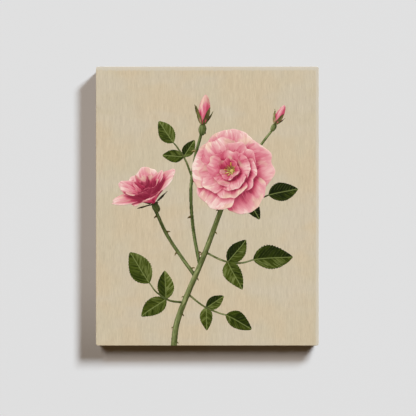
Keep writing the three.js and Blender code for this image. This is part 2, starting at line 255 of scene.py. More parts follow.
# %% The wall in parts
REACH, WALL_Y = 4.0, 0.0003
STRIPS, SHADOW_COLUMN, SHADOW_ROW, SHADOW_ROWS, GETS_DEEPER = 12, 103, 215, 137, 0.45
STRIPS_RIGHT = on_wall(SHADOW_COLUMN, 0)[0]
strip_rows = SHADOW_ROW + SHADOW_ROWS * ((np.arange(STRIPS) + 0.5) / STRIPS) ** GETS_DEEPER
strip_ends = [MIDDLE_Z, *[on_wall(0, row)[1] for row in strip_rows], -REACH]


def wall_part(name, x0, z0, x1, z1):
    """A part of the wall between two corners, in metres."""
    mesh = bpy.data.meshes.new(name)
    corners = [(x, WALL_Y, z) for x, z in ((x0, z0), (x1, z0), (x1, z1), (x0, z1))]
    mesh.from_pydata(corners, [], [(0, 1, 2, 3)])
    mesh.materials.append(wall_paint.material)
    made = add_object(name, mesh)
    return made


above = wall_part("wall_above", -REACH, MIDDLE_Z, REACH, REACH)
below_left = wall_part("wall_below_left", STRIPS_RIGHT, -REACH, MIDDLE_X, MIDDLE_Z)
below_right = wall_part("wall_below_right", MIDDLE_X, -REACH, REACH, MIDDLE_Z)
strips = [wall_part(f"wall_strip_{number}", -REACH, low, STRIPS_RIGHT, high)
          for number, (high, low) in enumerate(zip(strip_ends, strip_ends[1:]))]
walls = [above, below_left, below_right, *strips]
print("the wall has", len(walls), "parts")

# %% [markdown]
# The shadow's corners tell where the main lamp stands. At the top left the shadow starts at a shallow
# slant, and at the bottom right it falls steeply, as it does when a lamp is near. Yet the wall is
# evenly bright, as only a distant lamp leaves it. Light linking gives both: each part of the wall has
# two distant lamps to itself, in the directions that are read off the shadow there. Down the strips,
# light goes from the overhead lamp to the key. The wall stays even, and the shadow gets deeper.

# %% A lamp, and what it lights
CENTRE = Vector((MIDDLE_X, FRONT * MM / 2, MIDDLE_Z))
FAR = 120.0
KEY, OVERHEAD = np.array([0.538, 0.600, 0.653]), np.array([0.398, 0.362, 0.332])
DEEPER, AMBIENT = np.array([0.149, 0.136, 0.129]), np.array([0.061, 0.035, 0.014])


def lamp(name, towards, wide, high, share):
    """A round lamp so many degrees wide and high, in the direction (x, y, z) from the canvas. It gives
    the wall, or what faces it, this share by colour of the room's brightness."""
    light = bpy.data.lights.new(name, "AREA")
    light.shape = "ELLIPSE"
    halves = [math.radians(angle / 2) for angle in (wide, high)]
    light.size, light.size_y = (2 * FAR * math.tan(half) for half in halves)
    light.color = [part / max(share) for part in share]
    direction = Vector(towards).normalized()
    slant = abs(direction.y) if abs(direction.y) > 0.1 else 1.0
    turned_away = math.cos(halves[0]) * math.cos(halves[1])
    light.energy = math.pi ** 2 * ROOM * max(share) * FAR ** 2 / slant / turned_away
    made = add_object(name, light)
    made.location = CENTRE + direction * FAR
    made.rotation_euler = direction.to_track_quat("Z", "Y").to_euler()
    made.visible_camera = False
    return made


def lights_only(lamp_made, objects, all_others=False):
    """Lets a lamp light some objects alone, or all the others. Everything still throws its shadows."""
    chosen = bpy.data.collections.new(lamp_made.name + "_lights")
    for made in objects:
        chosen.objects.link(made)
    for entry in chosen.collection_objects:
        entry.light_linking.link_state = "EXCLUDE" if all_others else "INCLUDE"
    lamp_made.light_linking.receiver_collection = chosen


def key_and_overhead(name, objects, key, overhead, deeper=0.0, all_others=False):
    """The two lamps for some objects, each by its direction, width and height."""
    shares = KEY + DEEPER * deeper, OVERHEAD - DEEPER * deeper
    for kind, place, share in zip(("key_", "over_"), (key, overhead), shares):
        lights_only(lamp(kind + name, *place, share), objects, all_others)


# %% The lamps
FROM_ABOVE, FROM_ABOVE_LEFT = ((0.0, -1, 0.59), 14, 25), ((-0.28, -1, 0.59), 14, 25)
key_and_overhead("wall_above", [above], ((0.95, -1, 0.86), 12, 12), FROM_ABOVE)
key_and_overhead("wall_below_left", [below_left], ((0.95, -1, 1.0), 12, 12), FROM_ABOVE_LEFT)
key_and_overhead("wall_below_right", [below_right], ((0.55, -1, 1.0), 26, 12), ((0.32, -1, 0.59), 26, 25))
for number, strip in enumerate(strips):
    key_and_overhead(strip.name, [strip], ((0.95, -1, 0.95), 12, 18), FROM_ABOVE_LEFT, number / STRIPS)
key_and_overhead("canvas", walls, ((0.76, -1, 0.84), 12, 12), FROM_ABOVE, all_others=True)
for name, towards, share in (("fill_left", (-1, 0, 0.05), 0.3), ("fill_below", (0.1, 0, -1), 0.19)):
    fill = lamp(name, towards, 30, 30, (share, share * 0.96, share * 0.9))
    lights_only(fill, walls, all_others=True)
behind, behind_cloth = (lamp(name, (-0.6, 0.75, 0.34), 30, 30, (0.58, 0.57, 0.55))
                        for name in ("behind_left", "behind_left_cloth"))
behind_cloth.visible_glossy = False
lamp("behind_right", (0.5, 0.85, 0.1), 30, 30, (0.28, 0.29, 0.3))
print("lamps:", len(bpy.data.lights))

# %% [markdown]
# What no lamp reaches gets a dim light from all round. Shiny pieces and the camera see a pale room.

# %% The room
world = bpy.data.worlds.new("room")
world.use_nodes = True
room = Graph(world.node_tree)
background = room.tree.nodes["Background"]
background.inputs["Color"].default_value = (*(ROOM * AMBIENT), 1)
pale = room.node("ShaderNodeBackground", {}, {"Color": (0.62, 0.62, 0.61, 1)})
glossy_ray = room.node("ShaderNodeLightPath", output="Is Glossy Ray")
sharp_ray = room.node("ShaderNodeLightPath", output="Is Camera Ray").math("MAXIMUM", glossy_ray)
dim = Value(room, background.outputs[0])
either = room.node("ShaderNodeMixShader", {}, {0: sharp_ray, 1: dim, 2: pale})
room.tree.links.new(either.socket, room.tree.nodes["World Output"].inputs["Surface"])
bpy.context.scene.world = world
bpy.context.scene.view_settings.view_transform = "Standard"
print("the room is lit")

# %% [markdown]
# ## The canvas as cloth
# The canvas is one sheet that runs over the face, round the sides and a little way onto the back. It
# could be draped by simulation, but drum-tight cloth has no slack to fall, so it is swept instead: a
# profile from the middle of the face to the cut edge, carried round the four sides. Every point also
# carries its place on the flat sheet, so that threads and brush marks turn the edge without a jump.

# %% Stations round the canvas
SIDE_STEP = 4.0
CORNER_STEPS = 8


def stacked(*parts):
    """Arrays or numbers as one array, whose last axis runs over them."""
    return np.stack(np.broadcast_arrays(*parts), axis=-1)


def stations():
    """Points round the face: place along the core's edge from -1 to 1 on each axis, and normal."""
    half_wide, half_high = WIDE / 2 - ROLL, HIGH / 2 - ROLL
    core, normal = [], []
    for nx, nz, half in ((1, 0, half_high), (0, 1, half_wide), (-1, 0, half_high), (0, -1, half_wide)):
        count = round(2 * half / SIDE_STEP)
        for along in 2 * np.arange(count + 1) / count - 1:
            core.append((nx - nz * along, nz + nx * along))
            normal.append((nx, nz))
        for step in range(1, CORNER_STEPS):
            turn = math.atan2(nz, nx) + step / CORNER_STEPS * math.pi / 2
            core.append(core[-1])
            normal.append((math.cos(turn), math.sin(turn)))
    return np.array(core), np.array(normal)


CORE, NORMAL = stations()
print(len(CORE), "stations round the canvas")

# %% The profile of the sheet
SIDE_END = FLAP_BACK - BACK_ROLL
INNER_ROUND = 0.6
ROLL_POINTS, SIDE_POINTS, BACK_POINTS, INNER_POINTS = 9, 13, 5, 6
FLAP_INSETS = np.array([1.8, 3, 3.99, 5.5, 7.5, 9.5, 11.5, 13, 14.5, 16.5, 19, 21, FLAP])
PAINTED, PRIMED, RAW = 1.0, -0.2, -1.0


def arc(middle, radius, low, high, steps):
    """Points round an ellipse, from one angle to another in degrees."""
    turn = np.radians(np.linspace(low, high, steps))
    return middle + stacked(np.cos(turn), np.sin(turn)) * radius


front_edge = arc((EDGE_ROLL, FRONT + EDGE_ROLL), EDGE_ROLL, 270, 180, ROLL_POINTS)
side = np.linspace((0, FRONT + EDGE_ROLL), (0, SIDE_END), SIDE_POINTS)[1:-1]
back_edge = arc((BACK_ROLL, SIDE_END), BACK_ROLL, 180, 90, BACK_POINTS)
outside = np.vstack([(ROLL + 1, FRONT), front_edge, side, back_edge, stacked(FLAP_INSETS, FLAP_BACK)])
length = np.cumsum(np.hypot(*np.diff(outside, axis=0, prepend=outside[:1]).T)) - 1
coat = np.concatenate([np.full(len(outside) - BACK_POINTS - len(FLAP_INSETS), PAINTED),
                       PAINTED - 0.3 * np.linspace(0, math.pi / 2, BACK_POINTS),
                       np.maximum(PRIMED, 0.55 - 0.17 * FLAP_INSETS)])
OUTER = np.column_stack([outside, length, coat])

inside = np.vstack([(FLAP, WOOD_BACK), (CLOTH + INNER_ROUND, WOOD_BACK), (CLOTH, WOOD_BACK - INNER_ROUND),
                    arc((EDGE_ROLL, FRONT + EDGE_ROLL), EDGE_ROLL - CLOTH, 180, 270, INNER_POINTS),
                    (ROLL + 1, FRONT + CLOTH)])
INNER = stacked(*inside.T, FRONT - inside[:, 1], RAW)
print(len(OUTER) + len(INNER), "rows from the face to the cut edge and back")

# %% [markdown]
# The flap isn't flat. Each staple pulls it down, and between two staples it lifts a little, which
# gives the edge of a hand-stretched canvas its ripple. The staples' places are read from the frame.

# %% Sweep the sheet
HALF = np.array([WIDE / 2, HIGH / 2])
STAPLES = np.array([box(node).mean(axis=0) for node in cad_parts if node.startswith("staple")])
PUFF, PRESS, DIMPLE, GROWS_OVER, RIPPLE = 0.22, 0.3, 5.5, 12, 0.35


def ring(inset):
    """The x and z of every station at an inset from the outside, in mm from the face's middle."""
    inset = np.broadcast_to(inset, len(CORE))[:, None]
    return CORE * (HALF - np.maximum(ROLL, inset)) + NORMAL * np.maximum(ROLL - inset, 0.01)


def lift(x, z, inset):
    """How far the flap stands off the wood's back beyond its own thickness."""
    away = np.hypot(x[:, None] - STAPLES[:, 0], z[:, None] + MIDDLE_Z / MM - STAPLES[:, 2])
    pressed = np.exp(-(away / DIMPLE) ** 2).max(axis=1)
    return np.clip(inset / GROWS_OVER, 0, 1) ** 1.5 * (PUFF - PRESS * pressed)


def swept(rows, face):
    """Points, places on the flat cloth and coat for each row of a profile."""
    station = np.arange(len(CORE))
    cut = FLAP + RIPPLE * (np.sin(station * 0.37) + np.sin(station * 0.91 + 1))
    points, cloth = [], []
    for inset, y, length, _ in rows:
        x, z = ring(cut if inset == FLAP else inset).T
        on_flap = inset > CLOTH + INNER_ROUND and y > WOOD_BACK - 0.1
        points.append(stacked(x, y + (lift(x, z, inset) if on_flap else 0), z))
        cloth.append(stacked(*(CORE * (HALF - ROLL) + NORMAL * length).T, face))
    return np.array(points), np.array(cloth), np.repeat(rows[:, 3:], len(CORE), axis=1)


outer, inner = swept(OUTER, 0), swept(INNER, 1)
print("the flap's edge lifts by up to", round(float(outer[0][-1, :, 1].max() - FLAP_BACK), 2), "mm")

# %% [markdown]
# ## Folded corners
# At a corner there is more cloth than the wood needs. It is tucked under on the top and bottom sides,
# where its fold runs to the front corner, and lies over the side flap on the back. Each fold is a
# small grid of its own whose border drops below the cloth it lies on, so it reads as a second layer.

# %% Folds
TUCK_WIDE, TUCK_POINT, TUCK_THICK, TUCK_SHORT = 30.0, 0.3, 0.35, 0.4
FOLD_FROM, FOLD_WIDE, FOLD_WIDE_INSIDE, FOLD_THICK = (1.6, 1), 32.5, 6.0, 0.5
FOLD_GRID, SUNK, UNEVEN = 14, 0.15, 0.08


def layer(corners, thick, coat):
    """A raised layer between four corners (a, b): its top and underside, as a, b, height and coat."""
    s, t = np.meshgrid(*[np.linspace(0, 1, FOLD_GRID)] * 2, indexing="ij")
    a, b = np.moveaxis(stacked((1 - s) * (1 - t), s * (1 - t), (1 - s) * t, s * t) @ corners, -1, 0)
    edge = np.minimum.reduce([s, 1 - s, t, 1 - t]) * (FOLD_GRID - 1)
    height = np.select([edge < 0.5, edge < 1.5], [-SUNK, 0.8 * thick], thick)
    height = height + UNEVEN * np.sin(3 * s + 2 * t) * (edge > 1.5)
    for heights in (height, np.where(edge < 0.5, -SUNK, -1.6 * SUNK)):
        yield a, b, heights, np.full(s.shape, coat)


def corner_folds(sx, sz):
    """The tuck on the top or bottom side and the fold on the back, at one corner."""
    front, back = FRONT + EDGE_ROLL, FLAP_BACK - TUCK_SHORT
    edge, top = HALF[0] - ROLL, HALF[1] - EDGE_ROLL + EDGE_ROLL * math.pi / 2 - front
    corners = [(edge, front), (edge - TUCK_POINT, front), (edge, back), (edge - TUCK_WIDE, back)]
    for a, b, height, coat in layer(corners, TUCK_THICK, PAINTED):
        points = stacked(sx * a, b, sz * (HALF[1] + height))
        yield points, stacked(sx * a, sz * (top + b), 0), coat
    inset, below = FOLD_FROM
    corners = [FOLD_FROM, (inset + FOLD_WIDE, below), (FLAP, FLAP), (FLAP + FOLD_WIDE_INSIDE, FLAP)]
    for a, b, height, coat in layer(corners, FOLD_THICK, PRIMED):
        points = stacked(sx * (HALF[0] - a), FLAP_BACK + height, sz * (HALF[1] - b))
        yield points, stacked(a + b, a - b, 3), coat


# %% [markdown]
# All of the grids become one mesh. Each point keeps its place on the flat sheet and how much paint is
# on it, and each face corner keeps its place on a map that the finish can be baked to, where the painted
# face has most of the room.

# %% One mesh from several grids
def cells(grid):
    """The four corners of each cell of a grid."""
    return np.stack([grid[:-1, :-1], grid[:-1, 1:], grid[1:, 1:], grid[1:, :-1]], axis=2)


def closed(grid):
    """A grid whose last column meets its first."""
    return np.concatenate([grid, grid[:, :1]], axis=1)


class Sheets:
    def __init__(self):
        self.points, self.cloth, self.coat, self.faces, self.maps = [], [], [], [], []

    def add(self, grid, to_map, around=False, flip=False, joined=None):
        """Adds a grid, whose first row can be points that are there already."""
        points, cloth, coat = grid
        fresh = 0 if joined is None else 1
        rows, columns = coat[fresh:].shape
        index = len(self.points) + np.arange(rows * columns).reshape(rows, columns)
        if fresh:
            index = np.concatenate([joined[None], index])
        for store, values in ((self.points, points), (self.cloth, cloth), (self.coat, coat)):
            store.extend(values[fresh:].reshape(-1, *values.shape[2:]))
        places = to_map(cloth)
        if around:
            index, places = closed(index), closed(places)
        for values, store, width in ((index, self.faces, 4), (places, self.maps, 8)):
            store.extend(cells(values)[:, :, ::-1 if flip else 1].reshape(-1, width))
        return index

    def cap(self, index, places):
        self.faces.append(index)
        self.maps.append(places.reshape(-1))


# %% Objects, and what their points carry
def make_object(name, points, faces, sharp=40):
    """An object from points, in millimetres about the face's middle, and faces."""
    mesh = bpy.data.meshes.new(name)
    places = np.asarray(points, float) * MM + (MIDDLE_X, 0, MIDDLE_Z)
    mesh.from_pydata(places.tolist(), [], [face.tolist() for face in faces])
    mesh.shade_smooth()
    mesh.set_sharp_from_angle(angle=math.radians(sharp))
    return add_object(name, mesh)


def carry(made, name, values):
    """Stores a number or a vector at each of the mesh's points."""
    values = np.asarray(values, np.float32)
    kind, field = ("FLOAT", "value") if values.ndim == 1 else ("FLOAT_VECTOR", "vector")
    made.data.attributes.new(name, kind, "POINT").data.foreach_set(field, values.ravel())


def lay_map(made, places):
    """Keeps each face corner's place on a map, named OFBake, that the finish can be baked to."""
    layer_made = made.data.uv_layers.new(name="OFBake")
    layer_made.data.foreach_set("uv", places.astype(np.float32).ravel())


# %% The canvas on its map
WHOLE = HALF * 2 + 2 * OUTER[-1][2]
MARGIN, FOLD_CELL, FOLD_MAP = 5, 45.0, 40
MAP_SIZE = max(WHOLE[0] + HALF[0] + 2 * MARGIN, WHOLE[1])


def outer_map(cloth):
    return (cloth[..., :2] + WHOLE / 2) / MAP_SIZE


def inner_map(cloth):
    return (cloth[..., :2] / 2 + HALF / 2 + MARGIN + (WHOLE[0], 0)) / MAP_SIZE


# %% The canvas
sheets = Sheets()
outer_index = sheets.add(outer, outer_map, around=True, flip=True)
edge_row = [np.concatenate([o[-1:], i]) for o, i in zip(outer, inner)]
edge_row[1][0] = edge_row[1][1]
inner_index = sheets.add(edge_row, inner_map, around=True, flip=True, joined=outer_index[-1, :-1])
sheets.cap(outer_index[0, :-1], outer_map(outer[1][0]))
sheets.cap(inner_index[-1, -2::-1], inner_map(inner[1][-1][::-1]))
for corner, (sx, sz) in enumerate([(-1, -1), (-1, 1), (1, -1), (1, 1)]):
    for number, fold in enumerate(corner_folds(sx, sz)):
        flat = fold[1][..., :2]
        low, span = flat.min(axis=(0, 1)), np.ptp(flat, axis=(0, 1))
        place = (WHOLE[0] + MARGIN + FOLD_CELL * corner, HALF[1] + 4 * MARGIN + FOLD_CELL * number)
        sheets.add(fold, lambda c: (place + (c[..., :2] - low) / span * FOLD_MAP) / MAP_SIZE,
                   flip=(sx == sz) != (number % 2 == 0))

canvas = make_object("canvas_cloth", sheets.points, sheets.faces)
carry(canvas, "cloth", sheets.cloth)
carry(canvas, "coat", sheets.coat)
lay_map(canvas, np.concatenate(sheets.maps))
work = bmesh.new()
work.from_mesh(canvas.data)
bmesh.ops.remove_doubles(work, verts=work.verts, dist=1e-7)
work.to_mesh(canvas.data)
print("canvas:", len(work.verts), "points, open edges", sum(edge.is_boundary for edge in work.edges))
work.free()

# %% [markdown]
# ## Finish of the canvas
# The ground is a warm beige, brushed on from top to bottom, so it is streaked along the brush's way
# and a little cloudy from stroke to stroke. Along the top and right edges, which face the key lamp,
# a paler band is painted in as a highlight where the cloth bends over the bars. The ground runs round
# the sides and ends unevenly on the back, where white priming and then bare cotton show. The weave is
# a plain one: threads over and under, which two crossed waves give. Under paint it is almost filled.

# %% Canvas finish
GROUND_LIGHT, GROUND_DARK, GROUND_GREY = (216, 202, 175), (181, 165, 137), (200, 190, 172)
# The third colour here is that of the painted highlight along the top and right edges.
GROUND_ROSE, GROUND_GREEN, EDGE_HIGHLIGHT = (203, 183, 151), (197, 185, 158), (206, 200, 188)
PRIMING, COTTON, COTTON_DARK = (232, 229, 220), (216, 203, 174), (190, 174, 144)
STREAK, HAIR, STROKE, CLOUD, WASH = (0.9, 21), (0.5, 8), (6, 70), (80, 120), (120, 60, 2)
THREAD, HIGHLIGHT_FROM, HIGHLIGHT_TO, RIGHT_BY_TOP = 0.9, 4.8, 8.4, 1.3

ground = Finish("painted_ground", Roughness=0.72, Specular_IOR_Level=0.3)
cloth_place, coat_left = ground.carried("cloth", output=1), ground.carried("coat")
streaks, hairs, strokes, clouds = (ground.noise(ground.stretched(cloth_place, *size))
                                   for size in (STREAK, HAIR, STROKE, CLOUD))
washes = ground.noise(ground.stretched(cloth_place, *WASH), detail=3)
tone = streaks * 0.46 + hairs * 0.36 + strokes * 0.18
beige = ground.mix(tone.step(0.32, 0.68), GROUND_DARK, GROUND_LIGHT)
tint = ground.mix(clouds.step(0.4, 0.6), GROUND_ROSE, GROUND_GREEN)
tint = ground.mix(washes.step(0.45, 0.65) * 0.75, tint, GROUND_GREY)
print("the ground is mixed from", len(ground.tree.nodes), "nodes")

# %% Painted highlight on the top and right edges, priming and weave
across, along, _ = ground.split(cloth_place)
past_right, past_top = (across - WIDE / 2) * RIGHT_BY_TOP, along - HIGH / 2
from_edge = past_right.math("MAXIMUM", past_top).math("ABSOLUTE")
ragged = from_edge + (strokes - 0.5) * 5 + (streaks - 0.5) * 4
# A painted highlight: a paler, streaky band along the top and right edges, which face the key lamp.
painted_highlight = (1 - ragged.step(HIGHLIGHT_FROM, HIGHLIGHT_TO)) * (streaks * 0.7 + 0.2)
painted_beige = ground.mix(painted_highlight, ground.mix(0.45, beige, tint), EDGE_HIGHLIGHT)
weave = (across * (math.pi / THREAD)).math("SINE") * (along * (math.pi / THREAD)).math("SINE")
raw = ground.mix(weave * 0.25 + 0.25, COTTON, COTTON_DARK)
bare = ground.mix(coat_left.step(-0.7, -0.5), raw, PRIMING)
cover = (coat_left + (streaks - 0.5) * 1.1 + (clouds - 0.5) * 0.8).step(0.3, 0.42)
height = weave * (0.5 - cover * 0.34) + (streaks * 0.6 + hairs * 0.4) * cover
painted_cloth = ground.wear(Base_Color=ground.mix(cover, bare, painted_beige),
                            Normal=ground.bump(height, 0.12, 0.8))
canvas.data.materials.append(painted_cloth)
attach(canvas, "root")
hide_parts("canvas")
print("the canvas is finished")

# %% [markdown]
# ## The painting
# A painter looks at a spray, decides where its light comes from, and lays dabs along each petal and
# leaf, darker where the form turns away. The same happens here. The spray is modelled in the round,
# out of sight, and each of its points gets a tone from a lamp and from what covers it. Then it is
# pressed flat: rays meet it from the front on a fine grid, and what they meet first becomes a thin
# layer of paint with that tone. Only what shows is made, so nothing lies hidden under the paint.

# %% The spray as parts in the round
random = np.random.default_rng(11)
STROKES_APART = 17.0


def unit(vectors):
    vectors = np.asarray(vectors, float)
    return vectors / np.maximum(np.linalg.norm(vectors, axis=-1, keepdims=True), 1e-9)


class Spray:
    """Grids of points, in millimetres: to the right, up, and out of the picture."""

    def __init__(self):
        self.points, self.normals, self.carried, self.quads, self.owners = [], [], [], [], []
        self.parts, self.sizes, self.count = [], [], 0

    def add(self, piece, kind, points, stroke, pigment):
        """A part: its grid, its place for brush strokes in mm, and its pigment from 0 to 1."""
        rows, columns = points.shape[:2]
        normal = unit(np.cross(np.gradient(points, axis=1), np.gradient(points, axis=0)))
        index = self.count + np.arange(rows * columns).reshape(rows, columns)
        self.quads.append(cells(index).reshape(-1, 4))
        self.owners.append(np.full(len(self.quads[-1]), len(self.parts)))
        carried = stacked(*stroke, STROKES_APART * len(self.parts), pigment)
        for store, values in ((self.points, points), (self.normals, normal), (self.carried, carried)):
            store.append(values.reshape(rows * columns, -1))
        self.parts.append((piece, kind))
        self.sizes.append((rows, columns))
        self.count += rows * columns


spray = Spray()


def grid(rows, columns, low=-1.0):
    """t from 0 to 1 down the rows, and s from low to 1 over the columns."""
    return np.meshgrid(np.linspace(0, 1, rows), np.linspace(low, 1, columns), indexing="ij")


def axes(out, up=(0, 1, 0)):
    """Three directions as rows: to the side, up and out."""
    out = unit(out)
    side = unit(np.cross(up, out))
    return np.stack([side, np.cross(out, side), out])


# %% [markdown]
# A petal is a fan on a narrow claw, with a notch in its edge. Its rise and its curl back are one angle
# that changes evenly from the claw to the edge, so its length stays true however far it opens. Each
# petal is tilted a little round its own middle line, so that it lies over one neighbour and under the
# other.

# %% Petals
CLAW, WIDEST_AT, RIM_FROM, RIM_WIDE = 0.16, 0.78, 0.86, 0.12


def petal(piece, centre, basis, heading, length, width, rise, fall, wrap=0.0, notch=0.06, ruffle=0.05,
          tilt=0.1, start=2.0, pigment=0.6):
    """A petal that leaves the centre at a heading and curls from its rise to its fall, in degrees."""
    t, s = grid(34, 30)
    phase = random.uniform(0, 2 * math.pi, 3)
    wide = width / 2 * (CLAW + (1 - CLAW) * np.sin(math.pi / 2 * np.clip(t / WIDEST_AT, 0, 1)) ** 0.9)
    wide *= 1 - 0.1 * np.clip((t - WIDEST_AT) / (1 - WIDEST_AT), 0, 1) ** 2
    reach = t * (1 - 0.3 * np.abs(s) ** 2.6 * t ** 2 - notch * np.exp(-(s / 0.24) ** 2) * t ** 5)
    reach *= 1 + 0.025 * np.sin(7 * s + phase[0]) * t ** 4
    low, high = math.radians(rise), math.radians(fall)
    turn = high - low if abs(high - low) > 0.01 else 0.01
    radial = start + length * (np.sin(low + turn * reach) - math.sin(low)) / turn
    height = length * (math.cos(low) - np.cos(low + turn * reach)) / turn
    wave = np.sin(2.6 * s + phase[1]) + 0.6 * np.sin(6.1 * s + 4 * t + phase[2])
    side = wide * s
    height = height + length * ruffle * wave * reach ** 2.5 + 0.1 * side * s + tilt * side
    angle = math.radians(heading) + wrap * side / (radial + 6)
    side = (1 - wrap) * side
    x = radial * np.cos(angle) - side * np.sin(angle)
    y = radial * np.sin(angle) + side * np.cos(angle)
    points = centre + stacked(x, y, height) @ basis
    rim = np.clip((np.maximum(t, 0.95 * np.abs(s)) - RIM_FROM) / RIM_WIDE, 0, 1)
    depth = pigment + 0.5 * (0.55 - t) + 0.14 * np.sin(3 * s + phase[1]) - 0.3 * rim
    spray.add(piece, "petal", points, (s * width / 2, t * length), depth)


# %% [markdown]
# Stems, filaments and prickles are tubes along a smooth curve through a few points. Hips, anthers and
# the heart of the flower are eggs.

# %% Curves, tubes and eggs
def curve(points, count):
    """A smooth curve through the points, at even steps of its parameter."""
    points = np.asarray(points, float)
    ends = np.concatenate([2 * points[:1] - points[1:2], points, 2 * points[-1:] - points[-2:-1]])
    place = np.linspace(0, len(points) - 1, count)
    first = np.minimum(place.astype(int), len(points) - 2)
    t = (place - first)[:, None]
    a, b, c, d = (ends[first + step] for step in range(4))
    return 0.5 * (2 * b + (c - a) * t + (2 * a - 5 * b + 4 * c - d) * t ** 2
                  + (3 * b - a - 3 * c + d) * t ** 3)


def tube(piece, kind, path, radii, sides=8, pigment=0.5):
    radii = np.interp(np.linspace(0, 1, len(path)), np.linspace(0, 1, len(radii)), radii)
    along = unit(np.gradient(path, axis=0))
    side = unit(np.cross(along, (0.05, 0.05, 1)))
    over = np.cross(side, along)
    turn = np.linspace(0, 2 * math.pi, sides + 1)
    ringed = np.cos(turn)[None, :, None] * side[:, None] + np.sin(turn)[None, :, None] * over[:, None]
    points = path[:, None] + ringed * radii[:, None, None]
    steps = np.linalg.norm(np.diff(path, axis=0, prepend=path[:1]), axis=1)
    length, across = np.meshgrid(np.cumsum(steps), turn * radii.mean(), indexing="ij")
    spray.add(piece, kind, points, (across, length), pigment)


def egg(piece, kind, centre, basis, long, wide, taper=0.0, pigment=0.5, rows=14, columns=16):
    """An ellipsoid along the basis' outward axis, thinner towards its far end by the taper."""
    t, turn = grid(rows, columns, 0.0)
    polar, turn = math.pi * t, 2 * math.pi * turn
    far = (1 - np.cos(polar)) / 2
    radius = wide / 2 * np.sin(polar) * (1 - taper * far)
    points = centre + stacked(radius * np.cos(turn), radius * np.sin(turn), long * (far - 0.5)) @ basis
    spray.add(piece, kind, points, (turn * wide / 2, far * long), pigment)


# %% [markdown]
# A leaflet is an oval with a point, folded a little along its midrib and with teeth along its edge. Its
# place for strokes is measured across and along, so that the veins can be painted later.

# %% Leaves
PAIR_AT, PAIR_BY_END = 0.42, 0.78


def blade(piece, kind, base, along, facing, length, width, fold, droop, teeth=0, sway=0.0, widest=0.42,
          pigment=0.2):
    """A leaflet, or with no teeth a sepal, from its base along a direction."""
    t, s = grid(8 * max(teeth, 6), 19)
    outline = np.sin(math.pi * t ** (math.log(0.5) / math.log(widest))) ** 0.82 * (1 - 0.12 * t)
    wide = width / 2 * outline + 0.2
    if teeth:
        saw = (t * teeth) % 1
        wide = wide * (1 + 0.13 * np.abs(s) ** 3 * (saw - 0.5) * (t > 0.08) * (t < 0.95))
    side = wide * s
    bend = sway * length * np.sin(math.pi * t * 0.5) ** 2
    ripple = 0.02 * length * np.sin(t * 9 + 2 * s) * np.abs(s) * np.sin(math.pi * t)
    height = fold * np.abs(side) - droop * length * t ** 2 + ripple
    points = base + stacked(side + bend, t * length, height) @ axes(facing, along)
    spray.add(piece, kind, points, (side, t * length), pigment + bool(teeth) * 0.22 * np.tanh(4 * s))


def compound_leaf(size, turn, path):
    """A rose leaf: a stalk with a pair of leaflets and one at its end."""
    stalk = curve(path, 40)
    tube("painted_leaves", "stem", stalk, (1.9, 1.2), pigment=0.35)
    heading = unit(np.gradient(stalk, axis=0))
    place = int(PAIR_AT * (len(stalk) - 1))
    x, y, out = heading[place]
    for side in (-1, 1):
        angle = math.radians(side * random.uniform(52, 66))
        along = (x * math.cos(angle) - y * math.sin(angle), x * math.sin(angle) + y * math.cos(angle), out)
        facing = (0.25 * side * turn + random.uniform(-0.2, 0.2), random.uniform(-0.1, 0.35), 1)
        length = size * PAIR_BY_END * random.uniform(0.94, 1.06)
        blade("painted_leaves", "leaf", stalk[place], along, facing, length, length * 0.6, teeth=13,
              fold=random.uniform(0.2, 0.5), droop=random.uniform(0.05, 0.25),
              sway=side * random.uniform(-0.02, 0.1), pigment=random.uniform(0.2, 0.6))
    facing = (0.15 * turn, random.uniform(0, 0.3), 1)
    blade("painted_leaves", "leaf", stalk[-1], heading[-1], facing, size, size * 0.62, teeth=15,
          fold=0.35, droop=0.2, sway=0.05, pigment=random.uniform(0.25, 0.55))


# %% [markdown]
# ### The open bloom
# Four whorls of petals, the outer ones wide open and the inner ones rising, and a brush of golden
# stamens round a green heart. A whorl is one row of numbers: how many petals, the first one's
# direction, their length, width, rise and fall, how far the whorl is lifted, and the petals' looks.

# %% Whorls of petals
def bloom(piece, centre, basis, whorls):
    for count, first, length, width, rise, fall, lifted, *looks in whorls:
        for number in range(count):
            heading = first + 360 * number / count + random.uniform(-6, 6)
            size = length * random.uniform(0.88, 1.1), width * random.uniform(0.94, 1.05)
            angles = rise + random.uniform(-4, 4), fall + random.uniform(-9, 9)
            petal(piece, centre + lifted * basis[2], basis, heading, *size, *angles,
                  **dict(zip(("pigment", "tilt", "ruffle", "wrap"), looks)))


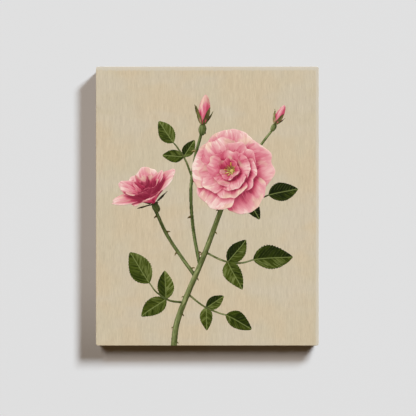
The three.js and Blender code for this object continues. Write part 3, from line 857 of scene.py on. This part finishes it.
# %% The open bloom
MAIN, MAIN_AXES = np.array((48.0, 62.0, 6.0)), axes((-0.26, 0.16, 0.95))
STAMENS, STAMEN_LONG, STAMEN_SPREAD, TURN_OF_STAMENS = 64, 22, 1.05, 0.618
bloom("painted_bloom_main", MAIN, MAIN_AXES, [
    (5, 20, 78, 88, 22, -14, 0, 0.6, 0.13, 0.055),
    (5, 56, 64, 70, 42, 4, 3, 0.75, 0.15, 0.065),
    (5, 10, 48, 50, 58, 24, 5, 0.95, 0.16, 0.07),
    (4, 30, 34, 34, 72, 46, 6, 1.1, 0.16, 0.07),
])
egg("painted_bloom_main", "gold", MAIN + 9 * MAIN_AXES[2], MAIN_AXES, 9, 9, pigment=0.3)
for number in range(STAMENS):
    heading = 2 * math.pi * (number * TURN_OF_STAMENS + random.uniform(-0.02, 0.02))
    lean = STAMEN_SPREAD * (0.35 + 0.65 * math.sqrt((number + 0.5) / STAMENS))
    x, y = math.cos(heading), math.sin(heading)
    tip = np.array([x * math.sin(lean), y * math.sin(lean), math.cos(lean)])
    tip *= STAMEN_LONG * random.uniform(0.8, 1.1)
    path = curve([(3 * x, 3 * y, 0.6), tip * (0.5, 0.5, 0.62), tip], 8) @ MAIN_AXES
    path += MAIN + 6 * MAIN_AXES[2]
    tube("painted_bloom_main", "gold", path, (0.45, 0.35), sides=5, pigment=0.15)
    egg("painted_bloom_main", "gold", path[-1], axes(random.normal(size=3), (0.1, 1, 0.2)), 3.0, 2.0,
        pigment=random.uniform(0.5, 1), rows=6, columns=8)
print("open bloom:", len(spray.parts), "parts")

# %% [markdown]
# ### The half-open bloom, the buds and the leaves
# The second bloom is seen from its side, with its hip and sepals. Its petals wrap round it like a cup.

# %% Hips, sepals and buds
def calyx(piece, centre, basis, size, spread):
    """A hip below a bloom or bud, and five sepals from its top."""
    egg(piece, "stem", centre - 0.45 * size * basis[2], basis, size, 0.62 * size, pigment=0.3)
    for number in range(5):
        heading = 2 * math.pi * number / 5 + 0.5
        away = math.cos(heading) * basis[0] + math.sin(heading) * basis[1]
        along = away * math.sin(spread) + basis[2] * math.cos(spread)
        facing = away * math.cos(spread) - basis[2] * math.sin(spread)
        blade(piece, "stem", centre + away * 0.2 * size, along, facing, 1.7 * size, 0.42 * size, fold=0.3,
              droop=-0.12, widest=0.3, pigment=0.6)


def bud(base, out, size):
    """A bud of wrapped petals on its calyx, as long as its size."""
    basis, base = axes(out, (0.3, 0.2, 1)), np.array(base, float)
    egg("painted_buds", "petal", base + 0.5 * size * basis[2], basis, size, 0.46 * size, taper=0.35,
        pigment=0.9, rows=24, columns=28)
    for heading in (40, 160, 280):
        petal("painted_buds", base, basis, heading, 0.98 * size, 0.8 * size, 74, 112, wrap=1.0,
              ruffle=0.02, tilt=0.0, start=1.5, notch=0.02, pigment=0.75)
    calyx("painted_buds", base, basis, 0.42 * size, 0.35)


# %% The half-open bloom and the buds
SIDE, SIDE_AXES = np.array((-98.0, 6.0, 8.0)), axes((-0.42, 0.85, 0.42), (0, 0, 1))
bloom("painted_bloom_side", SIDE, SIDE_AXES, [
    (5, 0, 72, 80, 50, 6, 0, 0.6, 0.05, 0.05, 0.7),
    (5, 36, 66, 68, 70, 34, 2, 0.75, 0.05, 0.05, 0.75),
    (4, 10, 56, 52, 82, 66, 3, 0.9, 0.05, 0.05, 0.85),
])
calyx("painted_bloom_side", SIDE, SIDE_AXES, 22, 1.1)
bud((-8, 150, -6), (0.1, 1, 0.15), 54)
bud((124, 150, -20), (0.5, 1, 0.1), 38)
print("with the second bloom and the buds:", len(spray.parts), "parts")

# %% Stems
STEMS = [
    (120, (5.4, 5.0, 4.4, 3.6), 14, 0.35, [
        (-62, -262, -36), (-56, -215, -34), (-38, -165, -32), (-8, -95, -30), (20, -20, -26),
        (38, 30, -14), (46, 52, 2)]),
    (70, (3.4, 2.8), 12, 0.3, [
        (-22, -128, -32), (-48, -92, -30), (-74, -52, -24), (-91, -16, -8), (-97, -2, 2)]),
    (90, (3.0, 2.4), 12, 0.25, [
        (-14, -108, -33), (-26, -40, -32), (-30, 30, -30), (-22, 90, -24), (-11, 132, -10),
        (-9, 144, -6)]),
    (60, (2.6, 2.0), 12, 0.25, [
        (26, 0, -34), (64, 62, -40), (98, 112, -32), (118, 138, -22), (122, 146, -20)]),
]
THORN_EVERY, THORN_FROM, THORN_TO = (11, 15, 17), 6, 12
stems = [curve(path, count) for count, _, _, _, path in STEMS]
for stem, (_, radii, sides, pigment, _) in zip(stems, STEMS):
    tube("painted_stems", "stem", stem, radii, sides, pigment)
for stem, every in zip(stems, THORN_EVERY):
    for number, place in enumerate(range(THORN_FROM, len(stem) - THORN_TO, every)):
        ahead = unit(stem[place + 1] - stem[place])
        side = unit(np.cross(ahead, (0, 0, 1))) * (-1) ** number
        thorn = stem[place] + [side * 2, side * 6 - ahead * 0.6, side * 9 - ahead * 3.5]
        tube("painted_stems", "stem", curve(thorn, 8), (2.4, 1.2, 0.1), pigment=0.9)
print("with the stems and their prickles:", len(spray.parts), "parts")

# %% The leaves
for size, turn, path in (
    (76, 1, [(-4, -84, -30), (30, -100, -20), (60, -104, -10), (84, -98, -4)]),
    (70, -1, [(-44, -176, -33), (-70, -172, -22), (-92, -158, -12), (-106, -140, -6)]),
    (54, 1, [(-36, -160, -33), (-8, -182, -24), (18, -194, -14), (34, -199, -8)]),
    (58, 1, [(30, 20, -44), (66, 14, -46), (94, 14, -44), (112, 20, -40)]),
    (50, -1, [(-27, 50, -40), (-40, 84, -38), (-54, 106, -34), (-62, 116, -30)]),
):
    compound_leaf(size, turn, path)
print("the spray has", len(spray.parts), "parts and", spray.count, "points")

# %% [markdown]
# ### Light on the spray
# The painter's lamp stands to the upper left. For each point a few rays go to the lamp and a few all
# round, and those that are stopped on their way take light off it.

# %% What stops a ray
points, normals, quads = (np.concatenate(of) for of in (spray.points, spray.normals, spray.quads))
triangles = np.concatenate([quads[:, [0, 1, 2]], quads[:, [0, 2, 3]]])
part_of_triangle = np.tile(np.concatenate(spray.owners), 2)
tree = BVHTree.FromPolygons(points.tolist(), triangles.tolist(), all_triangles=True)
print(len(triangles), "triangles can stop a ray")

# %% Rays to the lamp and all round
LAMP = unit((-0.45, 0.55, 0.7))
LAMP_SOFT, LAMP_RAYS, LAMP_REACH = 0.16, 4, 200.0
SKY_RAYS, SKY_REACH = 10, 34.0
OFF_SURFACE = 0.7
DARKEST, BY_SKY, BY_LAMP = 0.05, 0.42, 0.53


def open_share(origins, directions, reach):
    """The share of rays from each point that nothing stops."""
    clear_rays = np.zeros(len(origins))
    origin_list = origins.tolist()
    for batch in directions:
        clear_rays += [tree.ray_cast(o, d, reach)[2] is None for o, d in zip(origin_list, batch.tolist())]
    return clear_rays / len(directions)


def evened(values, times=2):
    """Evens out each part's values between neighbours on its own grid, as few rays leave specks."""
    parts, first = [], 0
    for rows, columns in spray.sizes:
        own = values[first:first + rows * columns].reshape(rows, columns)
        for _ in range(times):
            wide = np.pad(own, 1, mode="edge")
            beside = wide[:-2, 1:-1] + wide[2:, 1:-1] + wide[1:-1, :-2] + wide[1:-1, 2:]
            own = (own * 2 + beside) / 6
        parts.append(own.ravel())
        first += rows * columns
    return np.concatenate(parts)


# %% Tones
outward = normals * np.where(normals[:, 2:] < 0, -1.0, 1.0)
start = points + outward * OFF_SURFACE
to_lamp = [unit(LAMP + LAMP_SOFT * random.normal(size=points.shape)) for _ in range(LAMP_RAYS)]
to_sky = [unit(outward + unit(random.normal(size=points.shape))) for _ in range(SKY_RAYS)]
lit = np.clip(outward @ LAMP, 0, 1) * open_share(start, to_lamp, LAMP_REACH)
tones = evened(DARKEST + BY_SKY * open_share(start, to_sky, SKY_REACH) + BY_LAMP * lit)
print("tones from", round(float(tones.min()), 2), "to", round(float(tones.max()), 2))

# %% [markdown]
# ### Pressed flat
# The grid's points take what their rays meet: the part, its tone and its strokes. A cell of the grid
# goes to the part of its front-most corner, so each part is a patch with an edge of its own, and edges
# are smoothed along their way. What stood out furthest in the round gets the thickest paint.

# %% Rays on a grid
GRID = 0.65
LEFT, RIGHT, LOWEST, HIGHEST, IN_FRONT = -175, 175, -262, 225, 300.0
us, vs = np.arange(LEFT, RIGHT, GRID), np.arange(LOWEST, HIGHEST, GRID)
shape = (len(us), len(vs))
hit_triangle, hit_place = np.full(shape, -1), np.zeros((*shape, 3))
for column, u in enumerate(us.tolist()):
    for row, v in enumerate(vs.tolist()):
        place, _, triangle, _ = tree.ray_cast((u, v, IN_FRONT), (0.0, 0.0, -1.0))
        if triangle is not None:
            hit_triangle[column, row], hit_place[column, row] = triangle, place
met = hit_triangle >= 0
print("rays:", met.size, "of which", int(met.sum()), "meet the spray")


# %% What each grid point carries
def blended(values):
    """A value at the triangles' corners, blended for each point that a ray met."""
    corners = triangles[hit_triangle[met]]
    a, b, c = points[corners].transpose(1, 0, 2)
    whole, place = np.cross(b - a, c - a), hit_place[met]
    size = np.maximum((whole ** 2).sum(axis=1), 1e-12)
    share_b = (np.cross(place - a, c - a) * whole).sum(axis=1) / size
    share_c = (np.cross(b - a, place - a) * whole).sum(axis=1) / size
    shares = stacked(1 - share_b - share_c, share_b, share_c)
    return (values[corners] * shares[..., None]).sum(axis=1)


carried = np.column_stack([np.concatenate(spray.carried), tones])
on_grid = np.zeros((*shape, carried.shape[1]))
on_grid[met] = blended(carried)
part = np.full(shape, -1)
part[met] = part_of_triangle[hit_triangle[met]]
depth = np.where(met, hit_place[..., 2], -np.inf)
print("parts that show:", len(np.unique(part[met])))


# %% Cells of the parts that show
NEIGHBOURS = [(i, j) for i in (-1, 0, 1) for j in (-1, 0, 1) if (i, j) != (0, 0)]
STRAY_PASSES = 3


def corners_of(values):
    return cells(values.T).T


def neighbours(values):
    """The values of the eight neighbours of each cell."""
    wide, (rows, columns) = np.pad(values, 1, mode="edge"), values.shape
    return np.stack([wide[1 + i:1 + i + rows, 1 + j:1 + j + columns] for i, j in NEIGHBOURS])


corner_parts = corners_of(part)
front_most = corners_of(depth).argmax(axis=0)[None]
cell = np.take_along_axis(corner_parts, front_most, axis=0)[0]
cell[(corner_parts >= 0).sum(axis=0) < 2] = -1

petals = np.array([kind == "petal" for _, kind in spray.parts] + [False])
for _ in range(STRAY_PASSES):
    near = neighbours(cell)
    votes = (near[:, None] == near[None]).sum(axis=1)
    usual = np.take_along_axis(near, votes.argmax(axis=0)[None], axis=0)[0]
    stray = ((near == cell).sum(axis=0) < 4) & petals[cell] & petals[usual]
    cell[stray] = usual[stray]
print("cells that are painted:", int((cell >= 0).sum()))

# %% Smooth edges
bordered = np.pad(cell, 1, constant_values=-1)
edge_u = (bordered[1:-1, :-1] != bordered[1:-1, 1:])[..., None]
edge_v = (bordered[:-1, 1:-1] != bordered[1:, 1:-1])[..., None]
EDGE_PASSES = 4
flat_places = stacked(us[:, None], vs)
for _ in range(EDGE_PASSES):
    total, number = np.zeros_like(flat_places), np.zeros((*shape, 1))
    for values, result in ((flat_places, total), (np.ones((*shape, 1)), number)):
        result[:-1] += edge_u * values[1:]
        result[1:] += edge_u * values[:-1]
        result[:, :-1] += edge_v * values[:, 1:]
        result[:, 1:] += edge_v * values[:, :-1]
    flat_places = np.where(number == 2, (flat_places + total / np.maximum(number, 1)) / 2, flat_places)
print("points on a smoothed edge:", int((number == 2).sum()))

# %% [markdown]
# The paint's thickness follows the depth that the spray had in the round, and it thins out to nothing
# at the outline. The stem runs off the picture's lower end, so its paint goes round the edge.

# %% Thickness and the way round the edge
THIN, THICK, UNDER = 0.12, 0.7, -0.03
nearest, furthest = depth[met].max(), depth[met].min()
thickness = THIN + (THICK - THIN) * np.clip((depth - furthest) / (nearest - furthest), 0, 1)
thickness[corners_of(bordered).min(axis=0) < 0] = UNDER
print("the paint is up to", round(float(thickness[met].max()), 2), "mm thick")


def on_canvas(places, height):
    """From (u, v) on the face and a height over it to a point, round the lower edge if need be."""
    u, v = np.moveaxis(places, -1, 0)
    flat_end = -(HALF[1] - EDGE_ROLL)
    past = np.clip(flat_end - v, 0, None)
    turn = np.clip(past / EDGE_ROLL, 0, math.pi / 2)
    down_side = np.clip(past - EDGE_ROLL * math.pi / 2, 0, None)
    out = EDGE_ROLL + height
    y = FRONT + EDGE_ROLL - out * np.cos(turn) + down_side
    return stacked(u, y, np.maximum(v, flat_end) - out * np.sin(turn))


# %% The patches as meshes
def same_part_values(wanted, i, j):
    """What a part carries at grid points, from its own neighbours where another part lies on top."""
    own = (part[i, j] == wanted)[:, None]
    total, number = own * on_grid[i, j], own.astype(float)
    for di, dj in NEIGHBOURS:
        beside = np.clip(i + di, 0, shape[0] - 1), np.clip(j + dj, 0, shape[1] - 1)
        fits = ~own & (part[beside] == wanted)[:, None]
        total += fits * on_grid[beside]
        number += fits
    return total / np.maximum(number, 1)


def paint_piece(name, paints):
    """One object from all the patches of a piece, with a material for each kind of part."""
    chosen = np.array([piece == name for piece, _ in spray.parts] + [False])
    i, j = np.nonzero(chosen[cell])
    owner, sizes = cell[i, j], (len(spray.parts), *shape)
    corners = stacked(*[np.ravel_multi_index((owner, i + di, j + dj), sizes)
                        for di, dj in ((0, 0), (1, 0), (1, 1), (0, 1))])
    unique, faces = np.unique(corners, return_inverse=True)
    faces = faces.reshape(-1, 4)
    wanted, i, j = np.unravel_index(unique, sizes)
    values, flat = same_part_values(wanted, i, j), flat_places[i, j]
    made = make_object(name, on_canvas(flat, thickness[i, j]), faces)
    for carried_name, of in (("stroke", values[:, :3]), ("pigment", values[:, 3]), ("tone", values[:, 4])):
        carry(made, carried_name, of)
    lay_map(made, ((flat - flat.min(axis=0)) / np.ptp(flat, axis=0).max())[faces.ravel()])
    kinds = sorted(paints)
    for kind in kinds:
        made.data.materials.append(paints[kind])
    kind_of_part = np.array([kinds.index(kind) for _, kind in spray.parts], np.int32)
    made.data.polygons.foreach_set("material_index", kind_of_part[owner])
    made.visible_diffuse = False
    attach(made, "root")
    print(f"{name}: {len(faces)} cells, {len(unique)} points")
    return made


# %% [markdown]
# ## Paints
# Every paint is laid on in dabs. A cell pattern, stretched along the stroke, gives the dabs, each a
# little lighter or darker than the form asks for. Fine noise along the stroke gives the bristles. The
# tone then picks a mixed colour from dark to light, and pigment moves it between two such scales. On a
# leaf the strokes leave the midrib as its veins do.

# %% Paint in dabs
VEIN_SLANT, VEIN_BEND, HALVES_APART = 0.75, 0.018, 7


def along_veins(finish, stroke):
    """Strokes across the veins, along them, and with a layer for each half of the leaf."""
    across, up_leaf, layer_number = finish.split(stroke)
    from_midrib = across.math("ABSOLUTE")
    rise = from_midrib * VEIN_SLANT + from_midrib * from_midrib * VEIN_BEND
    half = layer_number + across.math("GREATER_THAN", 0.0) * HALVES_APART
    return finish.node("ShaderNodeCombineXYZ", {}, {0: up_leaf - rise, 1: from_midrib, 2: half})


def brushed(name, deep, pale, dab, uneven=0.3, bristly=0.3, veined=False):
    """Starts a paint: gives the finish, its stroke coordinates, its colour and its relief."""
    finish = Finish(name, Roughness=0.5, Specular_IOR_Level=0.06)
    stroke = finish.carried("stroke", output=1)
    if veined:
        stroke = along_veins(finish, stroke)
    bristles = finish.noise(finish.stretched(stroke, 0.7, 16))
    wander = finish.noise(finish.stretched(stroke, 5, 9), detail=1)
    pattern = {"Vector": finish.stretched(stroke, *dab), "Randomness": 0.9, "Scale": 1.0}
    dabs = finish.node("ShaderNodeTexVoronoi", {}, pattern, output=1)
    pick = finish.node("ShaderNodeSeparateColor", {}, {0: dabs})
    level = finish.carried("tone") + (pick - 0.5) * uneven
    level = level + (bristles - 0.5) * bristly + (wander - 0.5) * 0.2
    share = (finish.carried("pigment") + (wander - 0.5) * 0.5).step(0.0, 1.0)
    colour = finish.mix(share, finish.ramp(level, pale), finish.ramp(level, deep))
    return finish, stroke, colour, finish.bump(bristles * 0.6 + pick * 0.4, 0.25, 0.7)


# %% Scales of colour, from dark to light
DEEP_PINKS = [(0.12, 122, 26, 50), (0.32, 168, 46, 76), (0.52, 194, 76, 101), (0.72, 210, 108, 128),
              (0.9, 223, 146, 154), (1.0, 235, 182, 180)]
PALE_PINKS = [(0.12, 156, 56, 78), (0.32, 201, 98, 117), (0.52, 217, 136, 146), (0.72, 228, 164, 166),
              (0.9, 237, 193, 188), (1.0, 244, 220, 208)]
DARK_GREENS = [(0.12, 4, 8, 0), (0.4, 11, 18, 0), (0.65, 24, 33, 1), (0.85, 41, 52, 3), (1.0, 68, 79, 20)]
LIGHT_GREENS = [(0.12, 8, 15, 0), (0.4, 24, 33, 0), (0.65, 47, 57, 4), (0.85, 76, 86, 22),
                (1.0, 120, 128, 72)]
STEM_GREENS = [(0.12, 22, 30, 12), (0.42, 52, 66, 30), (0.7, 86, 102, 56), (1.0, 138, 152, 102)]
STEM_REDS = [(0.12, 38, 26, 14), (0.42, 78, 60, 32), (0.7, 110, 98, 54), (1.0, 160, 148, 98)]
GOLDS = [(0.12, 110, 62, 20), (0.4, 176, 112, 38), (0.65, 222, 168, 66), (1.0, 246, 218, 130)]
CREAMS = [(0.12, 120, 96, 44), (0.4, 188, 172, 96), (0.65, 226, 212, 136), (1.0, 248, 240, 186)]
BLUSH, VEIN, VEIN_EVERY = (240, 208, 180), (132, 142, 82), 6.5

# %% Paint for stems, stamens and petals
paints = {}
for kind, deep, pale, dab in (("stem", STEM_REDS, STEM_GREENS, (2.2, 14)),
                              ("gold", GOLDS, CREAMS, (1.5, 2.5))):
    finish, _, colour, relief = brushed(kind + "_paint", deep, pale, dab)
    paints[kind] = finish.wear(Base_Color=colour, Normal=relief)

finish, stroke, colour, relief = brushed("petal_paint", DEEP_PINKS, PALE_PINKS, (4.2, 18.0), 0.24, 0.28)
warmth = finish.noise(finish.stretched(stroke, 24, 34), detail=1)
blush = warmth.step(0.5, 0.66) * finish.carried("tone").step(0.3, 0.65) * 0.6
colour = finish.mix(blush, colour, BLUSH, blend="COLOR")
paints["petal"] = finish.wear(Base_Color=colour, Normal=relief)
print("paints:", ", ".join(paints))

# %% Paint for leaves, with their veins
finish, stroke, colour, relief = brushed("leaf_paint", LIGHT_GREENS, DARK_GREENS, (2.4, 11), veined=True)
across_veins, from_midrib, _ = finish.split(stroke)
waver = finish.noise(finish.stretched(stroke, 6, 6), detail=1)
between = (across_veins / VEIN_EVERY + (waver - 0.5) * 0.4).math("FRACT")
side_vein = (between - 0.5).math("ABSOLUTE").step(0.4, 0.5) * waver.step(0.3, 0.6) * 0.4
midrib = (1 - from_midrib.step(0.4, 1.1)) * 0.9
colour = finish.mix(side_vein.math("MAXIMUM", midrib) * 0.7, colour, VEIN)
paints["leaf"] = finish.wear(Base_Color=colour, Normal=relief)
print("leaf paint:", len(finish.tree.nodes), "nodes")

# %% The painted pieces
PIECES = ("painted_bloom_main", "painted_bloom_side", "painted_buds", "painted_leaves", "painted_stems")
BARS = [f"stretcher_{side}" for side in ("top", "bottom", "left", "right")]
painted = [paint_piece(name, paints) for name in PIECES]

# %% [markdown]
# ## Wood
# The bars are knotty pine, sawn so that the rings run out along each face. Wood is a solid, so its
# pattern is too: rings round an axis that lies beside the bar, bent by slow noise, with a knot that
# pushes them aside. Every cut face then shows the right figure without any unwrapping.

# %% A wood
PINES = [(0.0, 226, 195, 150), (0.55, 219, 184, 136), (0.85, 196, 150, 98), (1.0, 184, 134, 84)]
BEECHES = [(0.0, 231, 206, 168), (1.0, 214, 181, 138)]
KNOT_HALO, KNOT_LIGHT, KNOT_DARK = (190, 140, 90), (150, 98, 58), (120, 74, 44)
HORIZONTAL, UPRIGHT = 0, 2


def solid_place(finish):
    """The place in the solid, in mm, as a vector and as its x, y and z."""
    place = finish.node("ShaderNodeTexCoord", output=3)
    place = finish.stretched(place, MM, MM, MM)
    return place, finish.split(place)


def wood(name, colours, grain, axis, ring_wide, knot=None):
    """grain is the axis that the fibres follow, and axis the log's middle: its y and its place across."""
    finish = Finish(name, Roughness=0.62)
    place, parts = solid_place(finish)
    across = parts[UPRIGHT - grain]
    slow, fine = (finish.stretched(place, *[along if way == grain else wide for way in range(3)])
                  for wide, along in ((30, 190), (0.5, 26)))
    bend, fibre = finish.noise(slow) - 0.5, finish.noise(fine, detail=3)
    from_y, from_axis = parts[1] - axis[0], across - axis[1]
    rings = (from_y * from_y + from_axis * from_axis).math("SQRT") + bend * 16
    if knot:
        place_across, place_along, size = knot
        aside, ahead = across - place_across, (parts[grain] - place_along) * 0.7
        from_knot = (aside * aside + ahead * ahead).math("SQRT") + bend * 3
        rings = rings + (1 - from_knot.step(0.3 * size, 4.5 * size)) * 3 * size
    ring = (rings / ring_wide).math("FRACT")
    colour = finish.ramp(ring * 0.8 + (fibre - 0.5) * 0.5, colours)
    if knot:
        year = (from_knot / 1.1).math("FRACT")
        heart = 1 - (from_knot + (fibre - 0.5) * 2).step(0.8 * size, 1.15 * size)
        halo = 1 - from_knot.step(size, 2.2 * size)
        colour = finish.mix(halo * 0.5, colour, KNOT_HALO)
        colour = finish.mix(heart * 0.9, colour, finish.mix(year, KNOT_LIGHT, KNOT_DARK))
    relief = finish.bump(fibre * 0.7 + ring * 0.3, 0.12, 0.6)
    return finish.wear(Base_Color=colour, Normal=relief, Roughness=0.55 + fibre * 0.2)


# %% Bars and keys
SHARP = math.radians(35)
KNOTS = {"top": (-7, 0.73, 4.5), "right": (-4, 0.62, 3.2), "bottom": (6, 0.31, 2.2), "left": None}
SIDES = {"top": (HORIZONTAL, 1), "bottom": (HORIZONTAL, -1), "left": (UPRIGHT, -1), "right": (UPRIGHT, 1)}


def finished(node, material, bevel):
    """Gives a solid from the frame its material and takes the sharpness off its edges."""
    solid = bpy.data.objects[node]
    solid.data.materials.clear()
    solid.data.materials.append(material)
    eased = solid.modifiers.new("eased_edges", "BEVEL")
    eased.width, eased.segments = bevel * MM, 2
    eased.limit_method, eased.angle_limit = "ANGLE", SHARP


for side, (grain, out) in SIDES.items():
    low, high = box(f"stretcher_{side}")
    middle = (low[UPRIGHT - grain] + high[UPRIGHT - grain]) / 2
    knot = KNOTS[side]
    if knot:
        aside, share, size = knot
        knot = (middle + out * aside, low[grain] + (high[grain] - low[grain]) * share, size)
    log = (random.uniform(15, 30), middle + out * random.uniform(14, 34))
    pine = wood(f"pine_{side}", PINES, grain, log, random.uniform(4.2, 5.6), knot)
    finished(f"stretcher_{side}", pine, bevel=0.6)
beech = {way: wood(f"beech_{way}", BEECHES, grain, (40, 30), 2.6)
         for way, grain in (("flat", HORIZONTAL), ("upright", UPRIGHT))}
keys = [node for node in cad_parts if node.startswith("key_")]
for node in keys:
    finished(node, beech[node.split("_")[-1]], bevel=0.3)
print("wood for", len(SIDES) + len(keys), "pieces")

# %% [markdown]
# ## Metal and rubber
# Staples are galvanised wire, dull and a little mottled. The hanger and its nails are brassed steel,
# stamped and scuffed. The bumpers are soft grey rubber. Nail heads and bumpers are turned shapes, so
# they are made again with rounder rims.

# %% Metals and rubber
SCUFFED = 0.15


def metal(name, light, dark, roughness, spots):
    finish = Finish(name, Metallic=1.0)
    place, _ = solid_place(finish)
    mottle = finish.noise(place, detail=3, scale=1 / spots)
    scuffs = finish.noise(finish.stretched(place, 7, 0.5, 0.5))
    rough = roughness + (mottle + scuffs - 1) * SCUFFED
    return finish.wear(Base_Color=finish.mix(mottle.step(0.25, 0.75), dark, light),
                       Normal=finish.bump(scuffs, 0.02, 0.4), Roughness=rough)


zinc = metal("galvanised_wire", (214, 216, 220), (176, 180, 186), 0.36, 1.6)
brass = metal("brassed_steel", (226, 202, 146), (208, 178, 118), 0.34, 14.0)
finish = Finish("soft_rubber", Roughness=0.55)
dust = finish.noise(solid_place(finish)[0], detail=3, scale=0.5)
grey = finish.mix(dust.step(0.35, 0.75), (118, 118, 116), (146, 145, 141))
rubber = finish.wear(Base_Color=grey, Normal=finish.bump(dust, 0.05, 0.4), Roughness=0.5 + dust * 0.2)
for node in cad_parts:
    if node.startswith("staple_"):
        finished(node, zinc, bevel=0.17)
finished("sawtooth_hanger", brass, bevel=0.14)
print("metal for", len(STAPLES), "staples and the hanger")

# %% Turned pieces
TURNED_SIDES = 40
PAD_ROUND = 1.4
AXIS, SHANK, POINT, HEAD, DOME = 0.02, 0.75, 2.0, 0.75, 0.7


def turned(name, node, profile, material):
    """A shape turned round an axis along Y, in place of a node of the frame."""
    x, _, z = box(node).mean(axis=0) - (MIDDLE_X / MM, 0, MIDDLE_Z / MM)
    angles = np.linspace(0, 2 * math.pi, TURNED_SIDES, endpoint=False)
    radius, depth = np.vstack(profile).T[..., None]
    rings = stacked(x + radius * np.cos(angles), depth, z + radius * np.sin(angles))
    index = closed(np.arange(rings[..., 0].size).reshape(-1, TURNED_SIDES))
    faces = [*cells(index.T).reshape(-1, 4), index[0, :-1], index[-1, -2::-1]]
    made = make_object(name, rings.reshape(-1, 3), faces)
    made.data.materials.append(material)
    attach(made, "root")
    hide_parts(node)
    return made


# %% Bumpers and nails
for side in ("left", "right"):
    low, high = box(f"bumper_{side}")
    wide = (high[0] - low[0]) / 2
    rim = arc((wide - PAD_ROUND, high[1] - PAD_ROUND), PAD_ROUND, 0, 90, 9)
    pad = turned(f"bumper_{side}_pad", f"bumper_{side}", [(wide, low[1]), rim], rubber)
    low, high = box(f"hanger_nail_{side}")
    wide, tip, top, seat = (high[0] - low[0]) / 2, low[1], high[1], high[1] - HEAD
    dome = arc((0, top - DOME), (wide, DOME), 0, 90, 10)[:-1]
    head = [(AXIS, tip), (SHANK, tip + POINT), (SHANK, seat), (wide - 0.1, seat), dome, (AXIS, top)]
    nail = turned(f"hanger_nail_{side}_round", f"hanger_nail_{side}", head, brass)
print("turned pieces: two bumpers and two nails")

# %% [markdown]
# ## The last settings
# The wall of the photograph is evenly lit right up to the canvas, with no light thrown back on it. So
# the canvas and its bars are left out of the light that bounces from one surface to the next. The lamp
# behind gives the metals their shine, but on the canvas it would shine along the top side, where a
# real wall keeps it out. So the canvas has the same lamp again without the shine.

# %% No bounce on the wall, and no shine through it
for name in ("canvas_cloth", *BARS):
    bpy.data.objects[name].visible_diffuse = False
lights_only(behind, [canvas], all_others=True)
lights_only(behind_cloth, [canvas])
print("no light bounces off the canvas and its", len(BARS), "bars")
